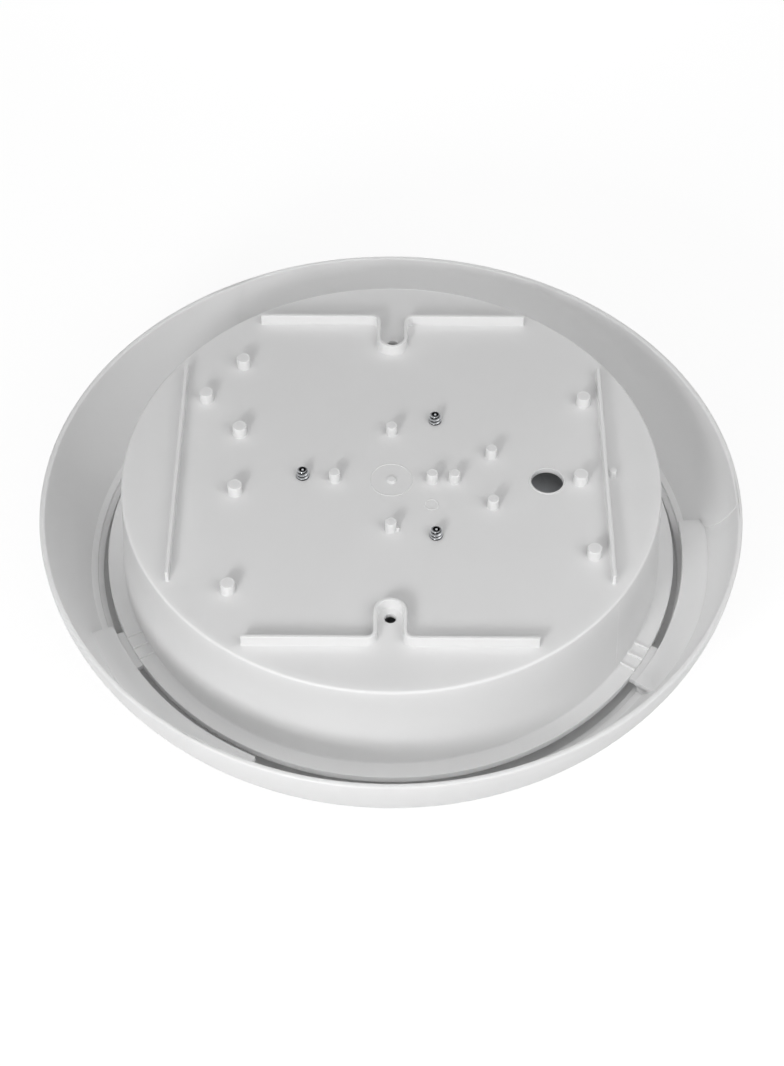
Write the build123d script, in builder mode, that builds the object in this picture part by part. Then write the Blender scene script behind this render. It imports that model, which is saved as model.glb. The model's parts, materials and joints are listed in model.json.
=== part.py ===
from build123d import *
import math
import os

os.makedirs("parts", exist_ok=True)

# A round twist-lock ceiling light with a hidden motion sensor, drawn with its back up.
# The flat back of the base is the plane z = 0, +Z points at the ceiling, and the lamp's axis is the Z axis.
# Angles are bearings about +Z from +X. A drop is a depth below the flat back.

# Clearances
play = 0.3  # between the cover and the base
slip = 0.05  # round a stem or a screw in its bore
ease = 0.3  # round a button, a knob or a locating lip

# Bowl cover
rim_r = 150.0
dome_h = 82.2
cover_t = 2.4
rim_drop = 12.6
rim_edge_r = 0.8
ledge_w = 2.9
ledge_gap = 0.4  # between the ledge and the foot of the base
lower_ledge_w = 2.6
lower_ledge_drop = 1.6  # from the ledge to the lower one inside it
tongue_w = 9.4
tongue_t = 3.1
tongue_drop = 42.2
tongue_start = -37.0
tongue_arc = 41.9
tongue_relief = 0.3
stop_arc = 0.8
turns = (0, 120, 240)

# Base housing
rib_h = 5.2
plate_t = 2.4
wall_t = 2.4
wall_draft = 2.6
back_edge_r = 1.1
foot_edge_r = 0.8
flange_w = 7.0
flange_t = 3.6
flange_gap = 3.7  # between the flange and the tongues
lug_t = 2.6
lug_gap = 0.8  # between a lug and the wall of the bowl
lug_arc = 9.2
lug_stop_gap = 0.2  # degrees between a locked lug and its stop

# Small ribs that brace each lug on the flange, in degrees from the start of the lug
brace_steps = (1.6, 4.7, 7.6)
brace_h = 0.8
brace_arc = 0.5

# Ribs and screw bosses on the back
rib_t = 1.6
rib_edge_r = 0.4
rib_in = 23.67  # from the edge of the drum to a rib
rib_end_gap = 6.3  # from the edge of the drum to the end of a rib
mount_hole_r = 2.4
mount_in = 13.2  # from a rib to its mounting hole
boss_r = 6.0
boss_corner_r = 3.4

# Cable hole and the marks that the mould leaves
mid_y = -3.5
cable_x = 66.0
cable_r = 6.85
cable_lip_t = 0.7
cable_lip_h = 0.4
gate_r = 9.2
gate_line_t = 0.5
gate_h = 0.25
gate_nub_r = 2.1
gate_nub_h = 0.7
ejector_x = 17.0
ejector_y = -17.2
ejector_r = 3.1

# Blind screw pegs on the back, some of which hold the modules inside
peg_h = 5.0
peg_dish = 0.5
peg_edge = 0.7
peg_edge_r = 0.3
peg_cap = 1.6
large_peg_r = 2.9
small_peg_r = 2.45
locating_peg_out = 3.0
locating_peg_r = 1.7
locating_peg_h = 3.4
cable_peg_step = 14.0
spare_large_pegs = ((-81.0, 42.8), (-65.4, 22.8), (-65.7, -10.8), (83.5, 41.8), (83.5, -44.2))
spare_small_pegs = ((-24.0, mid_y), (17.3, mid_y), (26.7, mid_y))

# Module screws, driven into the pegs from inside
peg_screw_r = 1.2
peg_screw_head_r = 2.8
peg_screw_head_h = 1.8
peg_screw_tip_gap = 0.6

# Gear tray and the three long screws that hold it
post_r = 5.0
post_len = 30.0
tray_screw_ring_r = 37.5
tray_screw_y = -1.5
tray_screw_r = 2.7
tray_screw_head_r = 5.0
tray_screw_head_h = 3.0
tray_screw_tip_r = 0.5
thread_pitch = 1.1
thread_depth = 0.7
tray_gap = 8.0
tray_t = 1.2
tray_lip_h = 8.0
tray_window_r = 30.0
cable_shelf_w = 24.0
cable_shelf_l = 38.0
cable_shelf_back = 8.5
cable_shelf_drop = 10.0
cable_shelf_bend_r = 1.0
lead_hole_r = 2.0

# LED board
led_board_in_r = 46.0
led_board_gap = 8.0
led_board_t = 1.6
led_inset_in = 16.0
led_inset_out = 11.0
led_in_count = 20
led_out_count = 32
led_l = 3.5
led_w = 2.8
led_t = 0.8
led_screw_count = 6
led_screw_r = 1.5
led_screw_head_r = 2.8
led_screw_head_h = 1.8
led_screw_end = 1.0
led_connector_in = 0.9
led_connector_l = 8.0
led_connector_edge = 1.8
led_connector_h = 4.0

# Driver
driver_x = -65.8
driver_w = 34.0
driver_l = 108.0
driver_t = 1.6
driver_ear_l = 9.7
driver_headroom = 2.2
driver_ear_w = 12.0
driver_ear_t = 2.5
driver_pad_r = 2.0
driver_pad_h = 2.0
driver_lip_h = 2.0
board_t = 1.6
board_edge = 0.4
transformer_l = 24.0
transformer_w = 21.0
transformer_h = 13.0
transformer_step = 28.0
capacitor_r = 5.0
capacitor_h = 12.0
capacitor_step = 18.0
choke_r = 6.0
choke_h = 9.0
choke_in = 16.0

# Motion sensor module
sensor_w = 48.0
sensor_l = 44.0
sensor_t = 1.6
sensor_ear_l = 5.2
sensor_ear_w = 11.0
sensor_ear_t = 3.0
sensor_gap = 1.6
sensor_face_t = 1.6
sensor_lip_h = 2.0
sensor_pillar = 5.0
sensor_board_gap = 10.4
antenna_l = 22.0
antenna_w = 17.0
antenna_h = 3.0
trimmer_side = 9.0
trimmer_h = 5.0
trimmer_in = 5.5
sensor_part_in = 4.5
adjuster_r = 3.5
adjuster_out = 2.4
adjuster_stem_r = 1.8
adjuster_stem_in = 3.5
adjuster_slot = 1.0
adjuster_slot_depth = 1.4

# Terminal block
terminal_step = 23.3
terminal_w = 18.0
terminal_cover = 4.0
terminal_ear_l = 3.7
terminal_ear_t = 4.0
terminal_ear_w = 8.0
pole_pitch = 6.8
pole_wall = 1.4
button_w = 5.0
button_l = 4.0
button_out = 2.5
button_travel = 1.4
button_edge = 0.4
pocket_depth = 9.6
contact_t = 0.5
wire_hole_r = 1.6
wire_hole_depth = 4.0

# Leads
lead_r = 1.1
lead_drop = 12.0
lead_end_in = 2.0
out_lead_steps = (-6.5, -9.8)
led_lead_ys = (29.0, 32.5)
led_lead_reach = 8.5
led_lead_bend_r = 5.0

# Heights that follow from the sizes above
back_z = 0.0
inner_z = back_z - plate_t
rim_z = back_z - rim_drop
tongue_z = back_z - tongue_drop
tongue_under_z = tongue_z - tongue_t
lug_z = tongue_under_z - play
base_foot_z = lug_z - lug_t
ledge_z = base_foot_z - ledge_gap
lower_ledge_z = ledge_z - lower_ledge_drop
flange_z = base_foot_z + flange_t
tray_z = inner_z - post_len
tray_front_z = tray_z - tray_t
cable_shelf_z = inner_z - cable_shelf_drop
led_front_z = tray_front_z - led_board_t
peg_top_z = back_z + peg_h
peg_hole_end_z = peg_top_z - peg_dish - peg_cap
peg_screw_tip_z = peg_hole_end_z - peg_screw_tip_gap
lead_z = inner_z - lead_drop
led_lead_z = led_front_z - led_connector_h / 2
driver_board_z = inner_z - driver_t - driver_pad_h
driver_board_front_z = driver_board_z - board_t
driver_case_end_z = driver_board_front_z - transformer_h - driver_headroom
driver_front_z = driver_case_end_z - driver_t
sensor_face_z = tray_z + sensor_gap
sensor_case_end_z = sensor_face_z + sensor_face_t
sensor_board_front_z = sensor_face_z + sensor_board_gap
trimmer_front_z = sensor_board_front_z - trimmer_h
terminal_front_z = lead_z - terminal_cover
pocket_end_z = terminal_front_z + pocket_depth
contact_z = pocket_end_z - contact_t
button_top_z = contact_z - button_travel - slip


def on_ring(radius, bearing, centre_y=0.0):
    """Point at a radius and bearing from a centre on the Y axis."""
    angle = math.radians(bearing)
    return (radius * math.cos(angle), centre_y + radius * math.sin(angle))


def bowl_r(z, depth):
    """Radius of the bowl at a height, on the ellipse that lies at a depth inside its outer face."""
    fall = (rim_z - z) / (dome_h - depth)
    return (rim_r - depth) * math.sqrt(1 - fall**2)


def bowl_z(radius, depth):
    """Height of the bowl at a radius, on the ellipse that lies at a depth inside its outer face."""
    reach = radius / (rim_r - depth)
    return rim_z - (dome_h - depth) * math.sqrt(1 - reach**2)


# Radii that follow from the bowl, from the tongues inwards
tongue_r = bowl_r(tongue_z, cover_t) - tongue_w
ledge_r = bowl_r(ledge_z, cover_t) - ledge_w
lower_ledge_r = ledge_r - lower_ledge_w
lug_r = bowl_r(base_foot_z, cover_t) - lug_gap
lug_start = tongue_start + stop_arc + lug_stop_gap
flange_r = tongue_r - flange_gap
foot_r = flange_r - flange_w
drum_r = foot_r - wall_draft
tray_r = drum_r - wall_t - tray_gap
led_board_out_r = tray_r - led_board_gap
led_ring_in_r = led_board_in_r + led_inset_in
led_ring_out_r = led_board_out_r - led_inset_out
led_screw_ring_r = (led_ring_in_r + led_ring_out_r) / 2

# Places on the back and inside that follow from the sizes above
rib_off = drum_r - rib_in
rib_half = math.sqrt((drum_r - rib_end_gap) ** 2 - rib_off**2)
mount_half = rib_off - mount_in
driver_hole_half = driver_l / 2 + driver_ear_l
sensor_hole_half = sensor_l / 2 + sensor_ear_l
terminal_x = cable_x - terminal_step
terminal_l = 2 * (pole_pitch + button_l / 2 + ease + pole_wall)
terminal_hole_half = terminal_l / 2 + terminal_ear_l
driver_pegs = ((driver_x, driver_hole_half), (driver_x, -driver_hole_half))
sensor_pegs = ((0, mid_y + sensor_hole_half), (0, mid_y - sensor_hole_half))
terminal_pegs = ((terminal_x, mid_y + terminal_hole_half), (terminal_x, mid_y - terminal_hole_half))
large_pegs = driver_pegs + spare_large_pegs + ((cable_x + cable_peg_step, mid_y),)
small_pegs = sensor_pegs + terminal_pegs + spare_small_pegs
tray_screw_spots = [on_ring(tray_screw_ring_r, bearing, tray_screw_y) for bearing in (60, 180, 300)]
led_screw_spots = [on_ring(led_screw_ring_r, i * 360 / led_screw_count) for i in range(led_screw_count)]
choke_y = choke_in - driver_l / 2
capacitor_y = choke_y + capacitor_step
transformer_y = capacitor_y + transformer_step
antenna_y = mid_y + sensor_l / 2 - sensor_part_in - antenna_w / 2
trimmer_y = mid_y - sensor_l / 2 + sensor_part_in + trimmer_side / 2
trimmer_pitch = sensor_w / 2 - trimmer_in - trimmer_side / 2
trimmer_spots = [(step * trimmer_pitch, trimmer_y) for step in (-1, 0, 1)]
pole_ys = [mid_y + step * pole_pitch for step in (1, 0, -1)]
live_y, loop_y, neutral_y = pole_ys
out_lead_ys = tuple(mid_y + step for step in out_lead_steps)
led_connector_y = sum(led_lead_ys) / len(led_lead_ys)
led_connector_w = led_lead_ys[1] - led_lead_ys[0] + 2 * led_connector_edge
led_connector_end_y = led_connector_y - led_connector_w / 2
led_connector_x = -math.sqrt(led_board_in_r**2 - led_connector_end_y**2) - led_connector_in
led_lead_x = led_connector_x + led_lead_reach


def upright(bearing):
    """Upright plane through the lamp's axis, with x along the bearing and y up."""
    angle = math.radians(bearing)
    return Plane((0, 0, 0), (math.cos(angle), math.sin(angle), 0), (math.sin(angle), -math.cos(angle), 0))


def draw_ring_section(top_z, top_in_r, top_out_r, low_z, low_in_r, low_out_r):
    """Section of a ring on an upright plane, from its radii at the top and at the bottom."""
    Polygon((top_in_r, top_z), (top_out_r, top_z), (low_out_r, low_z), (low_in_r, low_z), align=None)


def pan_screws(spots, seat_z, head_r, head_h, shank_r, tip_z):
    """Screws that point up, with the seats of their crossed pan heads at seat_z."""
    with BuildPart() as screws:
        for x, y in spots:
            with BuildSketch(Plane.XZ.offset(-y)):
                Polygon(
                    (x, tip_z),
                    (x + shank_r / 2, tip_z),
                    (x + shank_r, tip_z - shank_r),
                    (x + shank_r, seat_z),
                    (x + head_r, seat_z),
                    (x + head_r, seat_z - head_h / 2),
                    (x + head_r / 2, seat_z - head_h),
                    (x, seat_z - head_h),
                    align=None,
                )
            revolve(axis=Axis((x, y, 0), (0, 0, 1)))
        with BuildSketch(Plane.XY.offset(seat_z - head_h)):
            with Locations(*spots):
                Rectangle(head_r, head_r / 5)
                Rectangle(head_r / 5, head_r)
        extrude(amount=head_h / 2, mode=Mode.SUBTRACT)
    return screws


def dished_pegs(spots, radius):
    """Round pegs on the flat back, each with a shallow dish in its rounded top."""
    with BuildPart() as pegs:
        with BuildSketch(Plane.XY.offset(back_z)):
            with Locations(*spots):
                Circle(radius)
        extrude(amount=peg_h)
        with BuildSketch(Plane.XY.offset(peg_top_z)):
            with Locations(*spots):
                Circle(radius - peg_edge)
        extrude(amount=-peg_dish, mode=Mode.SUBTRACT)
        fillet(pegs.faces().group_by(Axis.Z)[-1].edges(), peg_edge_r)
    return pegs


def eared_case(x, y, width, length, wall, end_z, hole_half, ear_w, ear_t):
    """Open box that stands on the inside of the base, with a screw ear at each end of its length."""
    with BuildPart() as case:
        with BuildSketch(Plane.XY.offset(inner_z)):
            with Locations((x, y)):
                SlotCenterToCenter(2 * hole_half, ear_w, rotation=90)
        extrude(amount=-ear_t)
        with BuildSketch(Plane.XY.offset(inner_z)):
            with Locations((x, y)):
                Rectangle(width, length)
        extrude(amount=end_z - inner_z)
        with BuildSketch(Plane.XY.offset(inner_z - wall)):
            with Locations((x, y)):
                Rectangle(width - 2 * wall, length - 2 * wall)
        extrude(amount=end_z - inner_z, mode=Mode.SUBTRACT)
        with BuildSketch(Plane.XY.offset(inner_z)):
            with Locations((x, y + hole_half), (x, y - hole_half)):
                Circle(peg_screw_r + slip)
        extrude(amount=-ear_t, mode=Mode.SUBTRACT)
    return case


def lipped_lid(x, y, width, length, wall, face_z, lid_t, lip_h):
    """Flat lid for an eared case, with a lip that locates it inside the walls."""
    with BuildPart() as lid:
        with BuildSketch(Plane.XY.offset(face_z)):
            with Locations((x, y)):
                Rectangle(width, length)
        extrude(amount=lid_t)
        with BuildSketch(Plane.XY.offset(face_z + lid_t)):
            with Locations((x, y)):
                Rectangle(width - 2 * (wall + ease), length - 2 * (wall + ease))
                Rectangle(width - 2 * (2 * wall + ease), length - 2 * (2 * wall + ease), mode=Mode.SUBTRACT)
        extrude(amount=lip_h)
    return lid


def straight_lead(start_x, end_x, y):
    """Insulated wire that runs along X at the height of the lead holes."""
    with BuildPart() as lead:
        with BuildSketch(Plane.YZ.offset(start_x)):
            with Locations((y, lead_z)):
                Circle(lead_r)
        extrude(amount=end_x - start_x)
    return lead


# Bowl cover: an elliptical shell with its stepped ledge, tongues and stops
with BuildPart() as bowl_cover:
    with BuildSketch(Plane.XZ) as bowl_wall:
        with BuildLine():
            outer = EllipticalCenterArc((0, rim_z), rim_r, dome_h, 270, arc_size=90)
            inner = EllipticalCenterArc((0, rim_z), rim_r - cover_t, dome_h - cover_t, 270, arc_size=90)
            Line(outer @ 0, inner @ 0)
            Line(outer @ 1, inner @ 1)
        make_face()
        fillet(bowl_wall.vertices().group_by(Axis.Y)[-1], rim_edge_r)
    revolve(axis=Axis.Z)
    relief_depth = cover_t - tongue_relief
    relief_arc = math.degrees(math.asin((rim_z - tongue_z) / (dome_h - relief_depth)))
    with BuildSketch(*[upright(tongue_start + turn) for turn in turns]):
        with BuildLine():
            wall = EllipticalCenterArc(
                (0, rim_z), rim_r - relief_depth, dome_h - relief_depth, -relief_arc, arc_size=relief_arc
            )
            Polyline(wall @ 1, (tongue_r, rim_z), (tongue_r, tongue_z), wall @ 0)
        make_face()
    revolve(axis=Axis.Z, revolution_arc=tongue_arc, mode=Mode.SUBTRACT)
    mid = cover_t / 2
    with BuildSketch(Plane.XZ):
        Polygon(
            (bowl_r(ledge_z, mid), ledge_z),
            (ledge_r, ledge_z),
            (ledge_r, lower_ledge_z),
            (lower_ledge_r, lower_ledge_z),
            (lower_ledge_r, bowl_z(lower_ledge_r, mid)),
            (ledge_r, bowl_z(ledge_r, mid)),
            align=None,
        )
    revolve(axis=Axis.Z)
    with BuildSketch(*[upright(tongue_start + turn) for turn in turns]):
        draw_ring_section(
            tongue_z, tongue_r, bowl_r(tongue_z, mid), tongue_under_z, tongue_r, bowl_r(tongue_under_z, mid)
        )
    revolve(axis=Axis.Z, revolution_arc=tongue_arc)
    with BuildSketch(*[upright(tongue_start + turn) for turn in turns]):
        draw_ring_section(
            tongue_under_z, ledge_r, bowl_r(tongue_under_z, mid), ledge_z, ledge_r, bowl_r(ledge_z, mid)
        )
    revolve(axis=Axis.Z, revolution_arc=stop_arc)

bowl_cover.part.label = "bowl_cover"
export_step(bowl_cover.part, "parts/bowl_cover.step")

# Base housing: the pan, its flange and its three lugs
with BuildPart() as base_housing:
    with BuildSketch(Plane.XZ):
        Polygon(
            (0, back_z),
            (drum_r, back_z),
            (foot_r, flange_z),
            (flange_r, flange_z),
            (flange_r, base_foot_z),
            (foot_r - wall_t, base_foot_z),
            (drum_r - wall_t, inner_z),
            (0, inner_z),
            align=None,
        )
    revolve(axis=Axis.Z)
    fillet(base_housing.edges().filter_by(GeomType.CIRCLE).group_by(Axis.Z)[-1], back_edge_r)
    round_edges = base_housing.edges().filter_by(GeomType.CIRCLE)
    flange_edges = round_edges.filter_by_position(Axis.Z, flange_z, flange_z)
    fillet(flange_edges.sort_by(SortBy.RADIUS), foot_edge_r)
    with BuildSketch(*[upright(lug_start + turn) for turn in turns]):
        draw_ring_section(lug_z, foot_r, lug_r, base_foot_z, foot_r, lug_r)
    revolve(axis=Axis.Z, revolution_arc=lug_arc)
    with BuildSketch(*[upright(lug_start + step + turn) for turn in turns for step in brace_steps]):
        brace_in_r = foot_r - wall_t / 2
        draw_ring_section(flange_z + brace_h, brace_in_r, flange_r, base_foot_z, brace_in_r, flange_r)
    revolve(axis=Axis.Z, revolution_arc=brace_arc)

    # Ribs that stand on the ceiling, bent round the two mounting holes
    with BuildSketch(Plane.XY.offset(back_z)):
        with BuildLine():
            FilletPolyline(
                (-rib_half, rib_off), (-boss_r, rib_off), (-boss_r, mount_half), radius=boss_corner_r
            )
            ThreePointArc((-boss_r, mount_half), (0, mount_half - boss_r), (boss_r, mount_half))
            FilletPolyline(
                (boss_r, mount_half), (boss_r, rib_off), (rib_half, rib_off), radius=boss_corner_r
            )
            mirror(about=Plane.XZ)
        trace(line_width=rib_t)
        with Locations((rib_off, 0), (-rib_off, 0)):
            Rectangle(rib_t, 2 * rib_half)
    extrude(amount=rib_h)
    fillet(base_housing.edges().group_by(Axis.Z)[-1], rib_edge_r)

    # Pegs with dished tops
    add(dished_pegs(large_pegs, large_peg_r).part)
    add(dished_pegs(small_pegs, small_peg_r).part)
    with BuildSketch(Plane.XY.offset(back_z)):
        with Locations((rib_off + locating_peg_out, 0)):
            Circle(locating_peg_r)
    extrude(amount=locating_peg_h)

    # Lip of the cable hole, and the marks of the gate and of an ejector
    with BuildSketch(Plane.XY.offset(back_z)):
        with Locations((cable_x, mid_y)):
            Circle(cable_r + cable_lip_t)
    extrude(amount=cable_lip_h)
    with BuildSketch(Plane.XY.offset(back_z)):
        for spot, radius in (((0, mid_y), gate_r), ((ejector_x, ejector_y), ejector_r)):
            with Locations(spot):
                Circle(radius)
                Circle(radius - gate_line_t, mode=Mode.SUBTRACT)
    extrude(amount=gate_h)
    with BuildSketch(Plane.XY.offset(back_z)):
        with Locations((0, mid_y)):
            Circle(gate_nub_r)
    extrude(amount=gate_nub_h, taper=20)

    # Posts for the gear tray
    with BuildSketch(Plane.XY.offset(inner_z)):
        with Locations(*tray_screw_spots):
            Circle(post_r)
    extrude(amount=-post_len)

    # Holes: tray screws, mounting screws, cable, and the blind holes in the pegs
    with BuildSketch(Plane.XY.offset(tray_z)):
        with Locations(*tray_screw_spots):
            Circle(tray_screw_r + slip)
    extrude(amount=post_len + plate_t, mode=Mode.SUBTRACT)
    with BuildSketch(Plane.XY.offset(inner_z)):
        with Locations((0, mount_half), (0, -mount_half)):
            Circle(mount_hole_r)
    extrude(amount=plate_t, mode=Mode.SUBTRACT)
    with BuildSketch(Plane.XY.offset(inner_z)):
        with Locations((cable_x, mid_y)):
            Circle(cable_r)
    extrude(amount=plate_t + cable_lip_h, mode=Mode.SUBTRACT)
    with BuildSketch(Plane.XY.offset(inner_z)):
        with Locations(*large_pegs, *small_pegs):
            Circle(peg_screw_r + slip)
    extrude(amount=peg_hole_end_z - inner_z, mode=Mode.SUBTRACT)

base_housing.part.label = "base_housing"
export_step(base_housing.part, "parts/base_housing.step")

# Gear tray: a pressed steel dish with a window for the sensor and a folded shelf under the cable hole
with BuildPart() as gear_tray:
    with BuildSketch(Plane.XY.offset(tray_front_z)):
        Circle(tray_r)
    extrude(amount=tray_t)
    with BuildSketch(Plane.XY.offset(tray_z)):
        Circle(tray_r)
        Circle(tray_r - tray_t, mode=Mode.SUBTRACT)
    extrude(amount=tray_lip_h)
    with BuildSketch(Plane.XY.offset(tray_front_z)):
        with Locations((0, mid_y)):
            Circle(tray_window_r)
        with Locations(*tray_screw_spots):
            Circle(tray_screw_r + slip)
        with Locations(*led_screw_spots):
            Circle(led_screw_r + slip)
        with Locations(*[(led_lead_x, y) for y in led_lead_ys]):
            Circle(lead_hole_r)
    extrude(amount=tray_t, mode=Mode.SUBTRACT)
    with BuildSketch(Plane.XY.offset(tray_z)):
        with Locations((cable_x, mid_y + cable_shelf_back)):
            Rectangle(cable_shelf_w, cable_shelf_l)
            Rectangle(cable_shelf_w - 2 * tray_t, cable_shelf_l, mode=Mode.SUBTRACT)
    extrude(amount=cable_shelf_z - tray_z)
    with BuildSketch(Plane.XY.offset(cable_shelf_z)):
        with Locations((cable_x, mid_y + cable_shelf_back)):
            Rectangle(cable_shelf_w, cable_shelf_l)
    extrude(amount=-tray_t)
    fillet(gear_tray.edges().filter_by(Axis.Y).group_by(Axis.Z)[-1], cable_shelf_bend_r)

gear_tray.part.label = "gear_tray"
export_step(gear_tray.part, "parts/gear_tray.step")

# Tray screws: long self-tapping screws whose threaded points stand out of the back
with BuildPart() as tray_screws:
    point_z = back_z + peg_h
    thread_count = int(peg_h / thread_pitch)
    for x, y in tray_screw_spots:
        outline = [
            (x, tray_front_z - tray_screw_head_h),
            (x + tray_screw_head_r / 2, tray_front_z - tray_screw_head_h),
            (x + tray_screw_head_r, tray_front_z - tray_screw_head_h / 2),
            (x + tray_screw_head_r, tray_front_z),
            (x + tray_screw_r, tray_front_z),
        ]
        for i in range(thread_count):
            crest_z = back_z + i * thread_pitch
            crest_r = tray_screw_r + (tray_screw_tip_r - tray_screw_r) * (i / thread_count) ** 2
            outline.append((x + crest_r, crest_z))
            outline.append((x + max(crest_r - thread_depth, tray_screw_tip_r), crest_z + thread_pitch / 2))
        outline.append((x + tray_screw_tip_r / 2, point_z))
        outline.append((x, point_z))
        with BuildSketch(Plane.XZ.offset(-y)):
            Polygon(*outline, align=None)
        revolve(axis=Axis((x, y, 0), (0, 0, 1)))
    with BuildSketch(Plane.XY.offset(tray_front_z - tray_screw_head_h)):
        with Locations(*tray_screw_spots):
            Rectangle(tray_screw_head_r, tray_screw_head_r / 5)
            Rectangle(tray_screw_head_r / 5, tray_screw_head_r)
    extrude(amount=tray_screw_head_h / 2, mode=Mode.SUBTRACT)

tray_screws.part.label = "tray_screws"
export_step(tray_screws.part, "parts/tray_screws.step")

# LED board: a flat aluminium ring
with BuildPart() as led_board:
    with BuildSketch(Plane.XY.offset(led_front_z)):
        Circle(led_board_out_r)
        Circle(led_board_in_r, mode=Mode.SUBTRACT)
        with Locations(*led_screw_spots):
            Circle(led_screw_r + slip, mode=Mode.SUBTRACT)
    extrude(amount=led_board_t)

led_board.part.label = "led_board"
export_step(led_board.part, "parts/led_board.step")

# LED packages on two rings
with BuildPart() as led_packages:
    with BuildSketch(Plane.XY.offset(led_front_z)):
        for ring_r, count in ((led_ring_in_r, led_in_count), (led_ring_out_r, led_out_count)):
            with PolarLocations(ring_r, count, 180 / count):
                Rectangle(led_l, led_w)
    extrude(amount=-led_t)

led_packages.part.label = "led_packages"
export_step(led_packages.part, "parts/led_packages.step")

# Screws of the LED board
led_board_screws = pan_screws(
    led_screw_spots, led_front_z, led_screw_head_r, led_screw_head_h, led_screw_r, tray_z + led_screw_end
)
led_board_screws.part.label = "led_board_screws"
export_step(led_board_screws.part, "parts/led_board_screws.step")

# Plug on the LED board, with a hole for each lead
with BuildPart() as led_connector:
    with BuildSketch(Plane.XY.offset(led_front_z)):
        with Locations((led_connector_x - led_connector_l / 2, led_connector_y)):
            Rectangle(led_connector_l, led_connector_w)
    extrude(amount=-led_connector_h)
    with BuildSketch(Plane.YZ.offset(led_connector_x)):
        with Locations(*[(y, led_lead_z) for y in led_lead_ys]):
            Circle(lead_r + slip)
    extrude(amount=-lead_end_in, mode=Mode.SUBTRACT)

led_connector.part.label = "led_connector"
export_step(led_connector.part, "parts/led_connector.step")

# Driver: case, board with its main parts, lid and screws
with BuildPart() as driver_case:
    add(
        eared_case(
            driver_x,
            0,
            driver_w,
            driver_l,
            driver_t,
            driver_case_end_z,
            driver_hole_half,
            driver_ear_w,
            driver_ear_t,
        ).part
    )
    with BuildSketch(Plane.XY.offset(inner_z - driver_t)):
        with Locations((driver_x, 0)):
            with GridLocations(driver_w / 2, driver_l * 0.7, 2, 2):
                Circle(driver_pad_r)
    extrude(amount=-driver_pad_h)
    with BuildSketch(Plane.YZ.offset(driver_x + driver_w / 2)):
        with Locations(*[(y, lead_z) for y in out_lead_ys + led_lead_ys]):
            Circle(lead_r + slip)
    extrude(amount=-driver_t, mode=Mode.SUBTRACT)

driver_case.part.label = "driver_case"
export_step(driver_case.part, "parts/driver_case.step")

driver_lid = lipped_lid(driver_x, 0, driver_w, driver_l, driver_t, driver_front_z, driver_t, driver_lip_h)
driver_lid.part.label = "driver_lid"
export_step(driver_lid.part, "parts/driver_lid.step")

with BuildPart() as driver_board:
    board_inset = 2 * (driver_t + board_edge)
    with BuildSketch(Plane.XY.offset(driver_board_z)):
        with Locations((driver_x, 0)):
            Rectangle(driver_w - board_inset, driver_l - board_inset)
    extrude(amount=-board_t)

driver_board.part.label = "driver_board"
export_step(driver_board.part, "parts/driver_board.step")

with BuildPart() as driver_transformer:
    with BuildSketch(Plane.XY.offset(driver_board_front_z)):
        with Locations((driver_x, transformer_y)):
            Rectangle(transformer_w, transformer_l)
    extrude(amount=-transformer_h / 4)
    with BuildSketch(Plane.XY.offset(driver_board_front_z)):
        with Locations((driver_x, transformer_y)):
            Rectangle(transformer_w, transformer_l / 2)
    extrude(amount=-transformer_h)
    with BuildSketch(Plane.XZ.offset(-transformer_y)):
        with Locations((driver_x, driver_board_front_z - transformer_h * 0.55)):
            Circle(transformer_h * 0.36)
    extrude(amount=transformer_l * 0.45, both=True)

driver_transformer.part.label = "driver_transformer"
export_step(driver_transformer.part, "parts/driver_transformer.step")

with BuildPart() as driver_capacitor:
    with BuildSketch(Plane.XY.offset(driver_board_front_z)):
        with Locations((driver_x, capacitor_y)):
            Circle(capacitor_r)
    extrude(amount=-capacitor_h)
    fillet(driver_capacitor.edges().group_by(Axis.Z)[0], capacitor_r / 5)

driver_capacitor.part.label = "driver_capacitor"
export_step(driver_capacitor.part, "parts/driver_capacitor.step")

with BuildPart() as driver_choke:
    with BuildSketch(Plane.XY.offset(driver_board_front_z)):
        with Locations((driver_x, choke_y)):
            Circle(choke_r)
    extrude(amount=-choke_h)
    with BuildSketch(Plane.XY.offset(driver_board_front_z - choke_h / 5)):
        with Locations((driver_x, choke_y)):
            Circle(choke_r)
            Circle(choke_r * 0.85, mode=Mode.SUBTRACT)
    extrude(amount=-choke_h * 0.6, mode=Mode.SUBTRACT)

driver_choke.part.label = "driver_choke"
export_step(driver_choke.part, "parts/driver_choke.step")

driver_screws = pan_screws(
    driver_pegs, inner_z - driver_ear_t, peg_screw_head_r, peg_screw_head_h, peg_screw_r, peg_screw_tip_z
)
driver_screws.part.label = "driver_screws"
export_step(driver_screws.part, "parts/driver_screws.step")

# Motion sensor: case, board with its aerial and trimmers, face and screws
with BuildPart() as sensor_case:
    add(
        eared_case(
            0,
            mid_y,
            sensor_w,
            sensor_l,
            sensor_t,
            sensor_case_end_z,
            sensor_hole_half,
            sensor_ear_w,
            sensor_ear_t,
        ).part
    )
    pillar_inset = 2 * sensor_t + sensor_pillar
    with BuildSketch(Plane.XY.offset(inner_z - sensor_t)):
        with Locations((0, mid_y)):
            with GridLocations(sensor_w - pillar_inset, sensor_l - pillar_inset, 2, 2):
                Rectangle(sensor_pillar, sensor_pillar)
    extrude(amount=sensor_board_front_z + board_t - (inner_z - sensor_t))
    with BuildSketch(Plane.YZ.offset(sensor_w / 2)):
        with Locations((live_y, lead_z), (neutral_y, lead_z)):
            Circle(lead_r + slip)
    extrude(amount=-sensor_t, mode=Mode.SUBTRACT)
    with BuildSketch(Plane.YZ.offset(-sensor_w / 2)):
        with Locations(*[(y, lead_z) for y in out_lead_ys]):
            Circle(lead_r + slip)
    extrude(amount=sensor_t, mode=Mode.SUBTRACT)

sensor_case.part.label = "sensor_case"
export_step(sensor_case.part, "parts/sensor_case.step")

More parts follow.
